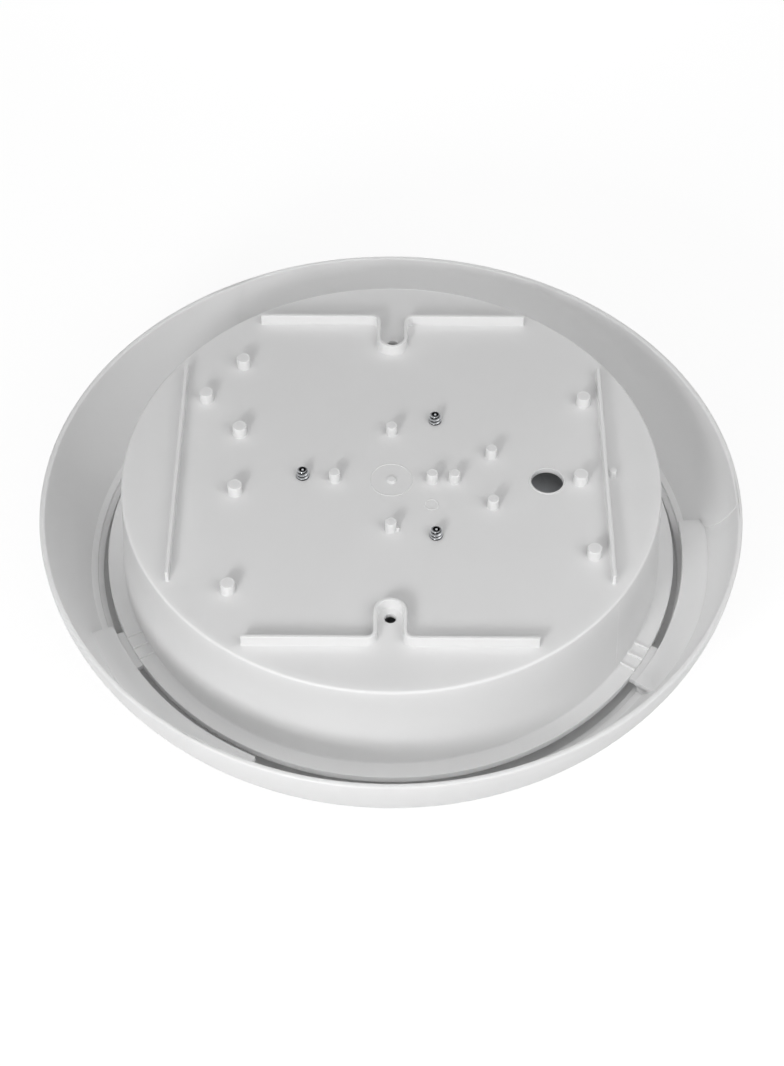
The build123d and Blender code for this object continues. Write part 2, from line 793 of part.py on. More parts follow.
with BuildPart() as sensor_face:
    add(lipped_lid(0, mid_y, sensor_w, sensor_l, sensor_t, sensor_face_z, sensor_face_t, sensor_lip_h).part)
    with BuildSketch(Plane.XY.offset(sensor_face_z)):
        with Locations(*trimmer_spots):
            Circle(adjuster_r + ease)
    extrude(amount=sensor_face_t, mode=Mode.SUBTRACT)

sensor_face.part.label = "sensor_face"
export_step(sensor_face.part, "parts/sensor_face.step")

with BuildPart() as sensor_board:
    board_inset = 2 * (sensor_t + board_edge)
    with BuildSketch(Plane.XY.offset(sensor_board_front_z)):
        with Locations((0, mid_y)):
            Rectangle(sensor_w - board_inset, sensor_l - board_inset)
    extrude(amount=board_t)

sensor_board.part.label = "sensor_board"
export_step(sensor_board.part, "parts/sensor_board.step")

with BuildPart() as sensor_antenna:
    with BuildSketch(Plane.XY.offset(sensor_board_front_z)):
        with Locations((0, antenna_y)):
            Rectangle(antenna_l, antenna_w)
    extrude(amount=-antenna_h)
    chamfer(sensor_antenna.edges().group_by(Axis.Z)[0], antenna_h / 4)

sensor_antenna.part.label = "sensor_antenna"
export_step(sensor_antenna.part, "parts/sensor_antenna.step")

with BuildPart() as sensor_trimmers:
    with BuildSketch(Plane.XY.offset(sensor_board_front_z)):
        with Locations(*trimmer_spots):
            Rectangle(trimmer_side, trimmer_side)
    extrude(amount=-trimmer_h)
    with BuildSketch(Plane.XY.offset(trimmer_front_z)):
        with Locations(*trimmer_spots):
            Circle(adjuster_stem_r + slip)
    extrude(amount=adjuster_stem_in + ease, mode=Mode.SUBTRACT)

sensor_trimmers.part.label = "sensor_trimmers"
export_step(sensor_trimmers.part, "parts/sensor_trimmers.step")

for name, spot in zip(("reach_adjuster", "time_adjuster", "daylight_adjuster"), trimmer_spots):
    with BuildPart() as adjuster:
        with BuildSketch(Plane.XY.offset(sensor_face_z - adjuster_out)):
            with Locations(spot):
                Circle(adjuster_r)
        extrude(amount=trimmer_front_z - ease - sensor_face_z + adjuster_out)
        with BuildSketch(Plane.XY.offset(trimmer_front_z - ease)):
            with Locations(spot):
                Circle(adjuster_stem_r)
        extrude(amount=ease + adjuster_stem_in)
        with BuildSketch(Plane.XY.offset(sensor_face_z - adjuster_out)):
            with Locations(spot):
                Rectangle(2 * adjuster_r, adjuster_slot)
        extrude(amount=adjuster_slot_depth, mode=Mode.SUBTRACT)
    adjuster.part.label = name
    export_step(adjuster.part, f"parts/{name}.step")

sensor_screws = pan_screws(
    sensor_pegs, inner_z - sensor_ear_t, peg_screw_head_r, peg_screw_head_h, peg_screw_r, peg_screw_tip_z
)
sensor_screws.part.label = "sensor_screws"
export_step(sensor_screws.part, "parts/sensor_screws.step")

# Terminal block: push-wire poles with release buttons over spring contacts
with BuildPart() as terminal_block:
    with BuildSketch(Plane.XY.offset(inner_z)):
        with Locations((terminal_x, mid_y)):
            SlotCenterToCenter(2 * terminal_hole_half, terminal_ear_w, rotation=90)
    extrude(amount=-terminal_ear_t)
    with BuildSketch(Plane.XY.offset(inner_z)):
        with Locations((terminal_x, mid_y)):
            Rectangle(terminal_w, terminal_l)
    extrude(amount=terminal_front_z - inner_z)
    with BuildSketch(Plane.XY.offset(terminal_front_z)):
        with Locations(*[(terminal_x, y) for y in pole_ys]):
            Rectangle(button_w + 2 * ease, button_l + 2 * ease)
    extrude(amount=pocket_depth, mode=Mode.SUBTRACT)
    with BuildSketch(Plane.XY.offset(inner_z)):
        with Locations(*terminal_pegs):
            Circle(peg_screw_r + slip)
    extrude(amount=-terminal_ear_t, mode=Mode.SUBTRACT)
    with BuildSketch(Plane.YZ.offset(terminal_x - terminal_w / 2)):
        with Locations((live_y, lead_z), (neutral_y, lead_z)):
            Circle(lead_r + slip)
    extrude(amount=lead_end_in, mode=Mode.SUBTRACT)
    with BuildSketch(Plane.YZ.offset(terminal_x + terminal_w / 2)):
        with Locations(*[(y, lead_z) for y in pole_ys]):
            Circle(wire_hole_r)
    extrude(amount=-wire_hole_depth, mode=Mode.SUBTRACT)

terminal_block.part.label = "terminal_block"
export_step(terminal_block.part, "parts/terminal_block.step")

with BuildPart() as terminal_contacts:
    with BuildSketch(Plane.XY.offset(contact_z)):
        with Locations(*[(terminal_x, y) for y in pole_ys]):
            Rectangle(button_w, button_l)
    extrude(amount=contact_t)

terminal_contacts.part.label = "terminal_contacts"
export_step(terminal_contacts.part, "parts/terminal_contacts.step")

for name, y in zip(("live_button", "loop_button", "neutral_button"), pole_ys):
    with BuildPart() as button:
        with BuildSketch(Plane.XY.offset(terminal_front_z - button_out)):
            with Locations((terminal_x, y)):
                Rectangle(button_w, button_l)
        extrude(amount=button_top_z - (terminal_front_z - button_out))
        chamfer(button.edges().group_by(Axis.Z)[0], button_edge)
    button.part.label = name
    export_step(button.part, f"parts/{name}.step")

terminal_screws = pan_screws(
    terminal_pegs, inner_z - terminal_ear_t, peg_screw_head_r, peg_screw_head_h, peg_screw_r, peg_screw_tip_z
)
terminal_screws.part.label = "terminal_screws"
export_step(terminal_screws.part, "parts/terminal_screws.step")

# Leads: mains to the sensor, sensor to the driver, driver to the LED board
terminal_end_x = terminal_x - terminal_w / 2 + lead_end_in
sensor_end_x = sensor_w / 2 - lead_end_in
driver_end_x = driver_x + driver_w / 2 - lead_end_in
straight_runs = (
    ("live_lead", sensor_end_x, terminal_end_x, live_y),
    ("neutral_lead", sensor_end_x, terminal_end_x, neutral_y),
    ("switched_lead", driver_end_x, -sensor_end_x, out_lead_ys[0]),
    ("return_lead", driver_end_x, -sensor_end_x, out_lead_ys[1]),
)
for name, start_x, end_x, y in straight_runs:
    lead = straight_lead(start_x, end_x, y)
    lead.part.label = name
    export_step(lead.part, f"parts/{name}.step")

for name, y in zip(("led_plus_lead", "led_minus_lead"), led_lead_ys):
    with BuildPart() as led_lead:
        with BuildLine():
            FilletPolyline(
                (driver_end_x, y, lead_z),
                (led_lead_x, y, lead_z),
                (led_lead_x, y, led_lead_z),
                (led_connector_x - lead_end_in, y, led_lead_z),
                radius=led_lead_bend_r,
            )
        with BuildSketch(Plane.YZ.offset(driver_end_x)):
            with Locations((y, lead_z)):
                Circle(lead_r)
        sweep()
    led_lead.part.label = name
    export_step(led_lead.part, f"parts/{name}.step")
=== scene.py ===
"""Dresses the round twist-lock ceiling light as moulded plastic and plated steel, on a white studio floor."""

import json
import logging
import math
from collections.abc import Callable, Iterable, Mapping, Sequence
from dataclasses import dataclass, field
from enum import Enum, IntEnum

import bmesh
import bpy
from mathutils import Matrix, Vector


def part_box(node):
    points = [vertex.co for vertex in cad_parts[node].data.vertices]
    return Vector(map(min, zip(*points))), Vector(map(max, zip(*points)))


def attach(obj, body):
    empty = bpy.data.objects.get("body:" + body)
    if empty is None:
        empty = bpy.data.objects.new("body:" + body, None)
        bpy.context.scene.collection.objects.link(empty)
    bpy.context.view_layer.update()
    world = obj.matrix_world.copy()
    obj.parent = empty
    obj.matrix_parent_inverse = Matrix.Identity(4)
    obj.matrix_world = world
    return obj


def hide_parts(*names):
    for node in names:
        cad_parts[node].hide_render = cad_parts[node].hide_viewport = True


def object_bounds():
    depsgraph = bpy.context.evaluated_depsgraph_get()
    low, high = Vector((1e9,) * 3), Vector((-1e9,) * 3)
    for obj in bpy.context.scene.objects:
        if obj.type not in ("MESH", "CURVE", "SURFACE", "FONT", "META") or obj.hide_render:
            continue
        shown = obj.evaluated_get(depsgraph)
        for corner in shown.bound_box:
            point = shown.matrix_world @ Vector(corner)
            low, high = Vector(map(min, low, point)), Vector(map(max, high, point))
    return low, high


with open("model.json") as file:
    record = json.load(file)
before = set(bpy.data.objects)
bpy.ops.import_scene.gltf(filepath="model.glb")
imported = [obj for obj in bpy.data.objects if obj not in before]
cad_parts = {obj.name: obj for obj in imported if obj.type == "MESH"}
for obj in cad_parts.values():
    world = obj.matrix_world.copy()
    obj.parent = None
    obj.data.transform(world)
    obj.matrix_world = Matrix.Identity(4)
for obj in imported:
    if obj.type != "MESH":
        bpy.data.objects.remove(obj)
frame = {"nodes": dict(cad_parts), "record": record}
cad_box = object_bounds()

log = logging.getLogger("ceiling_light")

Point = tuple[float, float]
Spot = tuple[float, float, float]

MM = 0.001
SHARP_DEG = 33.0
HAIR_DEG = 0.004  # gap between the two columns of points that make a feature's end face
EMBED_MM = 0.6  # how far a detail reaches into the moulding that it grows from
LIFT_MM = 0.01  # how far a detail's foot starts above the flat face, so that the two don't coincide
WELD_M = MM * 1e-4  # points nearer to each other than this become one
NEAR_POLE = math.radians(89.4)  # where a dome's last ring lies, just beside its middle
CORNER_SHARES = (0.0, 0.15, 0.5, 1.0)  # where a rounded corner has points, along its length
BEND_STEPS = 9
THIRDS = (0, 120, 240)
# Point mark that says how much painted shade falls in a screw's thread roots and end cup
ROOT_SHADE_MARK = "painted_root_shade"
PATH_TO_RADIUS = 4 * math.pi  # Blender's scatter radius, as a multiple of the light's free path
CLOUD_DETAIL = 3.0
GRAIN_DETAIL = 2.0
TRACK_LAYOUT = {"Mortar Size": 0.06, "Mortar Smooth": 0.2, "Brick Width": 2.3, "Row Height": 0.7}
FACING_FROM = 0.80  # how squarely a face looks along an axis where its own colour starts to show
FACING_FULL = 0.95  # and where that colour is full


def linear(code: str) -> tuple[float, float, float, float]:
    """Turn an sRGB hex colour into linear light.

    Args:
        code: A hash and six hex digits.

    Returns:
        Red, green, blue and an alpha of one.
    """
    channels = [int(code[i : i + 2], 16) / 255 for i in (1, 3, 5)]
    red, green, blue = (c / 12.92 if c <= 0.04045 else ((c + 0.055) / 1.055) ** 2.4 for c in channels)
    return red, green, blue, 1.0


def add_node(
    tree: bpy.types.NodeTree,
    kind: str,
    settings: Mapping[str | int, object] | None = None,
    links: Mapping[str | int, bpy.types.NodeSocket] | None = None,
) -> bpy.types.Node:
    """Add one node with its settings and links.

    Args:
        tree: Node tree that takes the node.
        kind: Blender's name for the kind of node.
        settings: Values by property name, or by input name or number.
        links: Output sockets by the input that each one feeds.

    Returns:
        The new node.
    """
    node = tree.nodes.new(kind)
    for key, value in (settings or {}).items():
        if isinstance(key, str) and hasattr(node, key):
            setattr(node, key, value)
        else:
            node.inputs[key].default_value = value
    for key, socket in (links or {}).items():
        tree.links.new(socket, node.inputs[key])
    return node


def per_metre(size_mm: float) -> float:
    """Texture scale at which a pattern repeats about once per size."""
    return 1 / (size_mm * MM)


def lay_over(
    tree: bpy.types.NodeTree, below: bpy.types.NodeSocket, colour: str, share: bpy.types.NodeSocket
) -> bpy.types.NodeSocket:
    """Lay one colour over another.

    Args:
        tree: The material's nodes.
        below: Colour underneath.
        colour: Colour on top.
        share: How much of it shows, from 0 to 1.

    Returns:
        The mixed colour.
    """
    mix = add_node(tree, "ShaderNodeMix", {"data_type": "RGBA", 7: linear(colour)}, {0: share, 6: below})
    return mix.outputs[2]


class Pattern(Enum):
    """What breaks up a surface's colour."""

    CLOUDS = "soft patches"
    CRYSTALS = "angular crystals"
    TRACKS = "straight tracks"


@dataclass(frozen=True)
class Finish:
    """One real material and how its surface was made.

    Attributes:
        name: Common name of the material and how its surface was made.
        colour: Main colour.
        second: Colour of the patches, crystals or tracks.
        rough: Roughness from the smoothest to the dullest places.
        patch_mm: Size of the patches, crystals or tracks.
        grain_mm: Size of the fine grain.
        grain_depth_mm: Height of the fine grain.
        metallic: One for bare metal.
        ior: Refractive index.
        coat: Weight of a clear gloss layer.
        scatter_mm: How far light goes under the surface between two turns.
        scatter: Share of light that goes under the surface.
        pattern: What breaks up the colour.
    """

    name: str
    colour: str
    second: str
    rough: tuple[float, float]
    patch_mm: float
    grain_mm: float
    grain_depth_mm: float
    metallic: float = 0.0
    ior: float = 1.5
    coat: float = 0.0
    scatter_mm: float = 0.0
    scatter: float = 0.0
    pattern: Pattern = Pattern.CLOUDS

    def spread(self, tree: bpy.types.NodeTree, where: bpy.types.NodeSocket) -> bpy.types.NodeSocket:
        """Draw the pattern that mixes the two colours.

        Args:
            tree: The material's nodes.
            where: Place on the surface.

        Returns:
            A value from 0, the main colour, to 1, the second.
        """
        scale = per_metre(self.patch_mm)
        if self.pattern is Pattern.CRYSTALS:
            cells = add_node(tree, "ShaderNodeTexVoronoi", {"Scale": scale}, {"Vector": where})
            shades = add_node(tree, "ShaderNodeSeparateColor", links={"Color": cells.outputs["Color"]})
            return shades.outputs["Red"]
        if self.pattern is Pattern.TRACKS:
            layout = {"Scale": scale, **TRACK_LAYOUT}
            bricks = add_node(tree, "ShaderNodeTexBrick", layout, {"Vector": where})
            return bricks.outputs["Fac"]
        layout = {"Scale": scale, "Detail": CLOUD_DETAIL}
        clouds = add_node(tree, "ShaderNodeTexNoise", layout, {"Vector": where})
        return clouds.outputs["Fac"]

    def colours(
        self, tree: bpy.types.NodeTree, spread: bpy.types.NodeSocket, coords: bpy.types.Node
    ) -> bpy.types.NodeSocket:
        """Mix the two colours.

        Args:
            tree: The material's nodes.
            spread: The pattern's value.
            coords: Texture coordinates, for finishes that change with place.

        Returns:
            The surface colour.
        """
        mix = add_node(
            tree,
            "ShaderNodeMix",
            {"data_type": "RGBA", 6: linear(self.colour), 7: linear(self.second)},
            {0: spread},
        )
        return mix.outputs[2]

    def make(self) -> bpy.types.Material:
        """Build the Blender material."""
        material = bpy.data.materials.new(self.name)
        material.use_nodes = True
        tree = material.node_tree
        tree.nodes.clear()
        coords = add_node(tree, "ShaderNodeTexCoord")
        where = coords.outputs["Object"]
        spread = self.spread(tree, where)
        rough = add_node(
            tree,
            "ShaderNodeMapRange",
            {"To Min": self.rough[0], "To Max": self.rough[1]},
            {"Value": spread},
        )
        grain = add_node(
            tree,
            "ShaderNodeTexNoise",
            {"Scale": per_metre(self.grain_mm), "Detail": GRAIN_DETAIL},
            {"Vector": where},
        )
        bump = add_node(
            tree,
            "ShaderNodeBump",
            {"Strength": 1.0, "Distance": self.grain_depth_mm * MM},
            {"Height": grain.outputs["Fac"]},
        )
        shader = add_node(
            tree,
            "ShaderNodeBsdfPrincipled",
            {
                "Metallic": self.metallic,
                "IOR": self.ior,
                "Coat Weight": self.coat,
                "Subsurface Weight": self.scatter,
                "Subsurface Radius": (1.0, 1.0, 1.0),
                "Subsurface Scale": self.scatter_mm * MM * PATH_TO_RADIUS,
            },
            {
                "Base Color": self.colours(tree, spread, coords),
                "Roughness": rough.outputs["Result"],
                "Normal": bump.outputs["Normal"],
            },
        )
        add_node(tree, "ShaderNodeOutputMaterial", links={"Surface": shader.outputs["BSDF"]})
        return material


class Axis(Enum):
    """Direction in the lamp's frame, as the number of its coordinate."""

    X = 0
    Y = 1
    Z = 2


@dataclass(frozen=True)
class FacedFinish(Finish):
    """A finish whose faces along one direction show another material.

    Attributes:
        face_colour: Colour of those faces.
        face_axis: Direction that they look along.
        face_sign: Minus one where they look against it.
    """

    face_colour: str = "#FFFFFF"
    face_axis: Axis = Axis.Z
    face_sign: int = -1

    def colours(
        self, tree: bpy.types.NodeTree, spread: bpy.types.NodeSocket, coords: bpy.types.Node
    ) -> bpy.types.NodeSocket:
        """Mix the colours, and put the face colour on the faces that look the right way.

        Args:
            tree: The material's nodes.
            spread: The pattern's value.
            coords: Texture coordinates.

        Returns:
            The surface colour.
        """
        plain = super().colours(tree, spread, coords)
        parts = add_node(tree, "ShaderNodeSeparateXYZ", links={"Vector": coords.outputs["Normal"]})
        facing = add_node(
            tree,
            "ShaderNodeMapRange",
            {"From Min": FACING_FROM * self.face_sign, "From Max": FACING_FULL * self.face_sign},
            {"Value": parts.outputs[self.face_axis.value]},
        )
        return lay_over(tree, plain, self.face_colour, facing.outputs["Result"])


@dataclass(frozen=True)
class BandedFinish(Finish):
    """A finish with a band of another material round its middle.

    Attributes:
        band_colour: Colour of the band.
        band_axis: Direction across the band.
        band_from_mm: Where the band starts along it.
        band_to_mm: Where the band ends along it.
    """

    band_colour: str = "#FFFFFF"
    band_axis: Axis = Axis.Y
    band_from_mm: float = 0.0
    band_to_mm: float = 0.0

    def colours(
        self, tree: bpy.types.NodeTree, spread: bpy.types.NodeSocket, coords: bpy.types.Node
    ) -> bpy.types.NodeSocket:
        """Mix the colours, and put the band's colour between its two ends.

        Args:
            tree: The material's nodes.
            spread: The pattern's value.
            coords: Texture coordinates.

        Returns:
            The surface colour.
        """
        plain = super().colours(tree, spread, coords)
        parts = add_node(tree, "ShaderNodeSeparateXYZ", links={"Vector": coords.outputs["Object"]})
        middle = (self.band_from_mm + self.band_to_mm) / 2 * MM
        half = (self.band_to_mm - self.band_from_mm) / 2 * MM
        inside = add_node(
            tree,
            "ShaderNodeMath",
            {"operation": "COMPARE", 1: middle, 2: half},
            {0: parts.outputs[self.band_axis.value]},
        )
        return lay_over(tree, plain, self.band_colour, inside.outputs["Value"])


@dataclass(frozen=True)
class ThreadedFinish(Finish):
    """A finish with painted shade in the roots of a thread and in the cup of its end.

    Attributes:
        root_shade_colour: Colour of the painted shade in the roots and the cup.
    """

    root_shade_colour: str = "#000000"

    def colours(
        self, tree: bpy.types.NodeTree, spread: bpy.types.NodeSocket, coords: bpy.types.Node
    ) -> bpy.types.NodeSocket:
        """Mix the colours, and lay painted shade on the points that the mesh marks as thread roots.

        Args:
            tree: The material's nodes.
            spread: The pattern's value.
            coords: Texture coordinates.

        Returns:
            The surface colour.
        """
        plain = super().colours(tree, spread, coords)
        # Painted shade: the mesh's mark, from 0 on the crests to 1 deep in the roots and the cup, lays the
        # dark colour on
        root = add_node(tree, "ShaderNodeAttribute", {"attribute_name": ROOT_SHADE_MARK})
        return lay_over(tree, plain, self.root_shade_colour, root.outputs["Fac"])


class Solid:
    """One closed skin of points in millimetres, made of rings of points."""

    def __init__(self, name: str) -> None:
        """Start an empty skin."""
        self.name = name
        self.skin = bmesh.new()

    def loft(self, rings: Sequence[Sequence[Spot]], closed: bool = False) -> "Solid":
        """Stretch a skin over rings that have the same number of points.

        Args:
            rings: Rings in order, each one going anticlockwise seen from the side that the rings go towards.
            closed: Whether the last ring joins the first, as on a round bead. Otherwise both ends are capped.

        Returns:
            The solid itself.
        """
        loops = [[self.skin.verts.new(Vector(spot) * MM) for spot in ring] for ring in rings]
        pairs = list(zip(loops, loops[1:]))
        if closed:
            pairs.append((loops[-1], loops[0]))
        count = len(loops[0])
        for low, high in pairs:
            for i in range(count):
                j = (i + 1) % count
                self.skin.faces.new((low[i], low[j], high[j], high[i]))
        if not closed:
            self.skin.faces.new(list(reversed(loops[0])))
            self.skin.faces.new(loops[-1])
        return self

    def object(self) -> bpy.types.Object:
        """Turn the skin into a Blender object in the scene."""
        bmesh.ops.remove_doubles(self.skin, verts=self.skin.verts, dist=WELD_M)
        bmesh.ops.recalc_face_normals(self.skin, faces=self.skin.faces)
        mesh = bpy.data.meshes.new(self.name)
        self.skin.to_mesh(mesh)
        self.skin.free()
        piece = bpy.data.objects.new(self.name, mesh)
        bpy.context.collection.objects.link(piece)
        return piece


class Merge(Enum):
    """How one moulded form meets another."""

    GROW = "UNION"
    CUT = "DIFFERENCE"


def merge(piece: bpy.types.Object, tool: bpy.types.Object, how: Merge) -> None:
    """Grow or cut a piece with another form, and leave one clean skin.

    Args:
        piece: Object whose mesh changes.
        tool: Object that is used up.
        how: Whether the form is added or taken away.
    """
    modifier = piece.modifiers.new(how.name, "BOOLEAN")
    modifier.object = tool
    modifier.operation = how.value
    modifier.solver = "EXACT"
    graph = bpy.context.evaluated_depsgraph_get()
    mesh = bpy.data.meshes.new_from_object(piece.evaluated_get(graph))
    piece.modifiers.clear()
    rough_mesh, tool_mesh = piece.data, tool.data
    name = rough_mesh.name
    piece.data = mesh
    bpy.data.objects.remove(tool)
    bpy.data.meshes.remove(rough_mesh)
    bpy.data.meshes.remove(tool_mesh)
    mesh.name = name


def settle(piece: bpy.types.Object) -> None:
    """Shade a moulding smoothly, with crisp lines where its faces turn sharply.

    Args:
        piece: Object whose mesh is shaded.
    """
    skin = bmesh.new()
    skin.from_mesh(piece.data)
    bmesh.ops.dissolve_degenerate(skin, edges=skin.edges, dist=WELD_M)
    limit = math.radians(SHARP_DEG)
    for face in skin.faces:
        face.smooth = True
    for edge in skin.edges:
        edge.smooth = len(edge.link_faces) == 2 and edge.calc_face_angle(math.pi) < limit
    skin.to_mesh(piece.data)
    skin.free()
    shading = piece.modifiers.new("even_shading", "WEIGHTED_NORMAL")
    shading.keep_sharp = True


def dress(piece: bpy.types.Object, material: bpy.types.Material) -> None:
    """Give a whole piece one material."""
    piece.data.materials.clear()
    piece.data.materials.append(material)


class Facets(IntEnum):
    """Number of points round a turned form."""

    PIP = 16
    BLIND_HOLE = 20
    LOCATING_PEG = 24
    PEG = 28
    SCREW_HOLE = 32
    POST = 36
    MOUNT_HOLE = 36
    LARGE_RING = 64


def circle(x: float, y: float, radius: float, z: float, count: int) -> list[Spot]:
    """Ring of points round an upright axis."""
    angles = [2 * math.pi * i / count for i in range(count)]
    return [(x + radius * math.cos(a), y + radius * math.sin(a), z) for a in angles]


def turned(x: float, y: float, profile: Sequence[Point], count: int) -> list[list[Spot]]:
    """Rings of a turned form about an upright axis.

    Args:
        x: Place of the axis.
        y: Place of the axis.
        profile: Radius and height of each ring.
        count: Number of points round each ring.

    Returns:
        One ring for each point of the profile.
    """
    return [circle(x, y, radius, z, count) for radius, z in profile]


def quarter(count: int) -> list[tuple[float, float]]:
    """Cosine and sine at even steps through a quarter turn."""
    return [(math.cos(math.pi / 2 * i / count), math.sin(math.pi / 2 * i / count)) for i in range(count + 1)]


def raised_profile(half: float, height: float, foot: float, edge: float, draft: float = 0.05) -> list[Point]:
    """Side of a moulded form on a flat face: a flared foot, a drafted wall and a rounded top edge.

    Args:
        half: Half width above the foot.
        height: Height above the face.
        foot: Radius of the hollow at the foot.
        edge: Radius of the top edge.
        draft: How much narrower each side is at the top.

    Returns:
        Distance from the middle and height of each point, from inside the face to the top.
    """
    start = [(half + foot, -EMBED_MM)]
    hollow = [(half + foot * (1 - sin), foot * (1 - cos) + LIFT_MM) for cos, sin in quarter(5)]
    top = half - draft
    crown = [(top - edge * (1 - cos), height - edge * (1 - sin)) for cos, sin in quarter(4)]
    return start + hollow + crown


@dataclass(frozen=True)
class Sector:
    """Part of a ring between two bearings, with rounded corners.

    Attributes:
        start: First bearing in degrees.
        arc: Length in degrees.
        edge: Length of each rounded corner in degrees.
        loss: Share of the reach that is lost at the very corner.
    """

    start: float
    arc: float
    edge: float
    loss: float

    def stops(self) -> list[float]:
        """Bearings that the skin needs to show the sector's ends."""
        steps = [-HAIR_DEG] + [self.edge * share for share in CORNER_SHARES]
        return [self.start + step for step in steps] + [self.start + self.arc - step for step in steps]

    def share(self, bearing: float) -> float:
        """How far along the sector a bearing lies, eased from 0 at its start to 1, and 0 outside it."""
        along = (bearing - self.start) % 360 / self.arc
        if along > 1 + HAIR_DEG / self.arc / 2:
            return 0.0
        eased = min(2 * along, 1.0)
        return eased**2 * (3 - 2 * eased)

    def reach(self, bearing: float) -> float:
        """How far the feature stands out at a bearing, from 0 to 1."""
        ahead = (bearing - self.start - self.arc / 2 + 180) % 360 - 180
        inside = self.arc / 2 - abs(ahead)
        if inside < -HAIR_DEG / 2:
            return 0.0
        if inside >= self.edge:
            return 1.0
        gap = 1 - max(inside, 0.0) / self.edge
        return 1 - self.loss * (1 - math.sqrt(1 - gap**2))


def bearings(step: float, stops: Iterable[float]) -> list[float]:
    """Bearings round a moulding: even steps, with more at the ends of its features.

    Args:
        step: Even step in degrees.
        stops: Bearings that have to be there.

    Returns:
        Bearings in rising order.
    """
    wanted = sorted({round(stop % 360, 5) for stop in stops})
    even = [i * step for i in range(round(360 / step))]
    kept = [a for a in even if all(abs((a - b + 180) % 360 - 180) > step / 5 for b in wanted)]
    return sorted(kept + wanted)


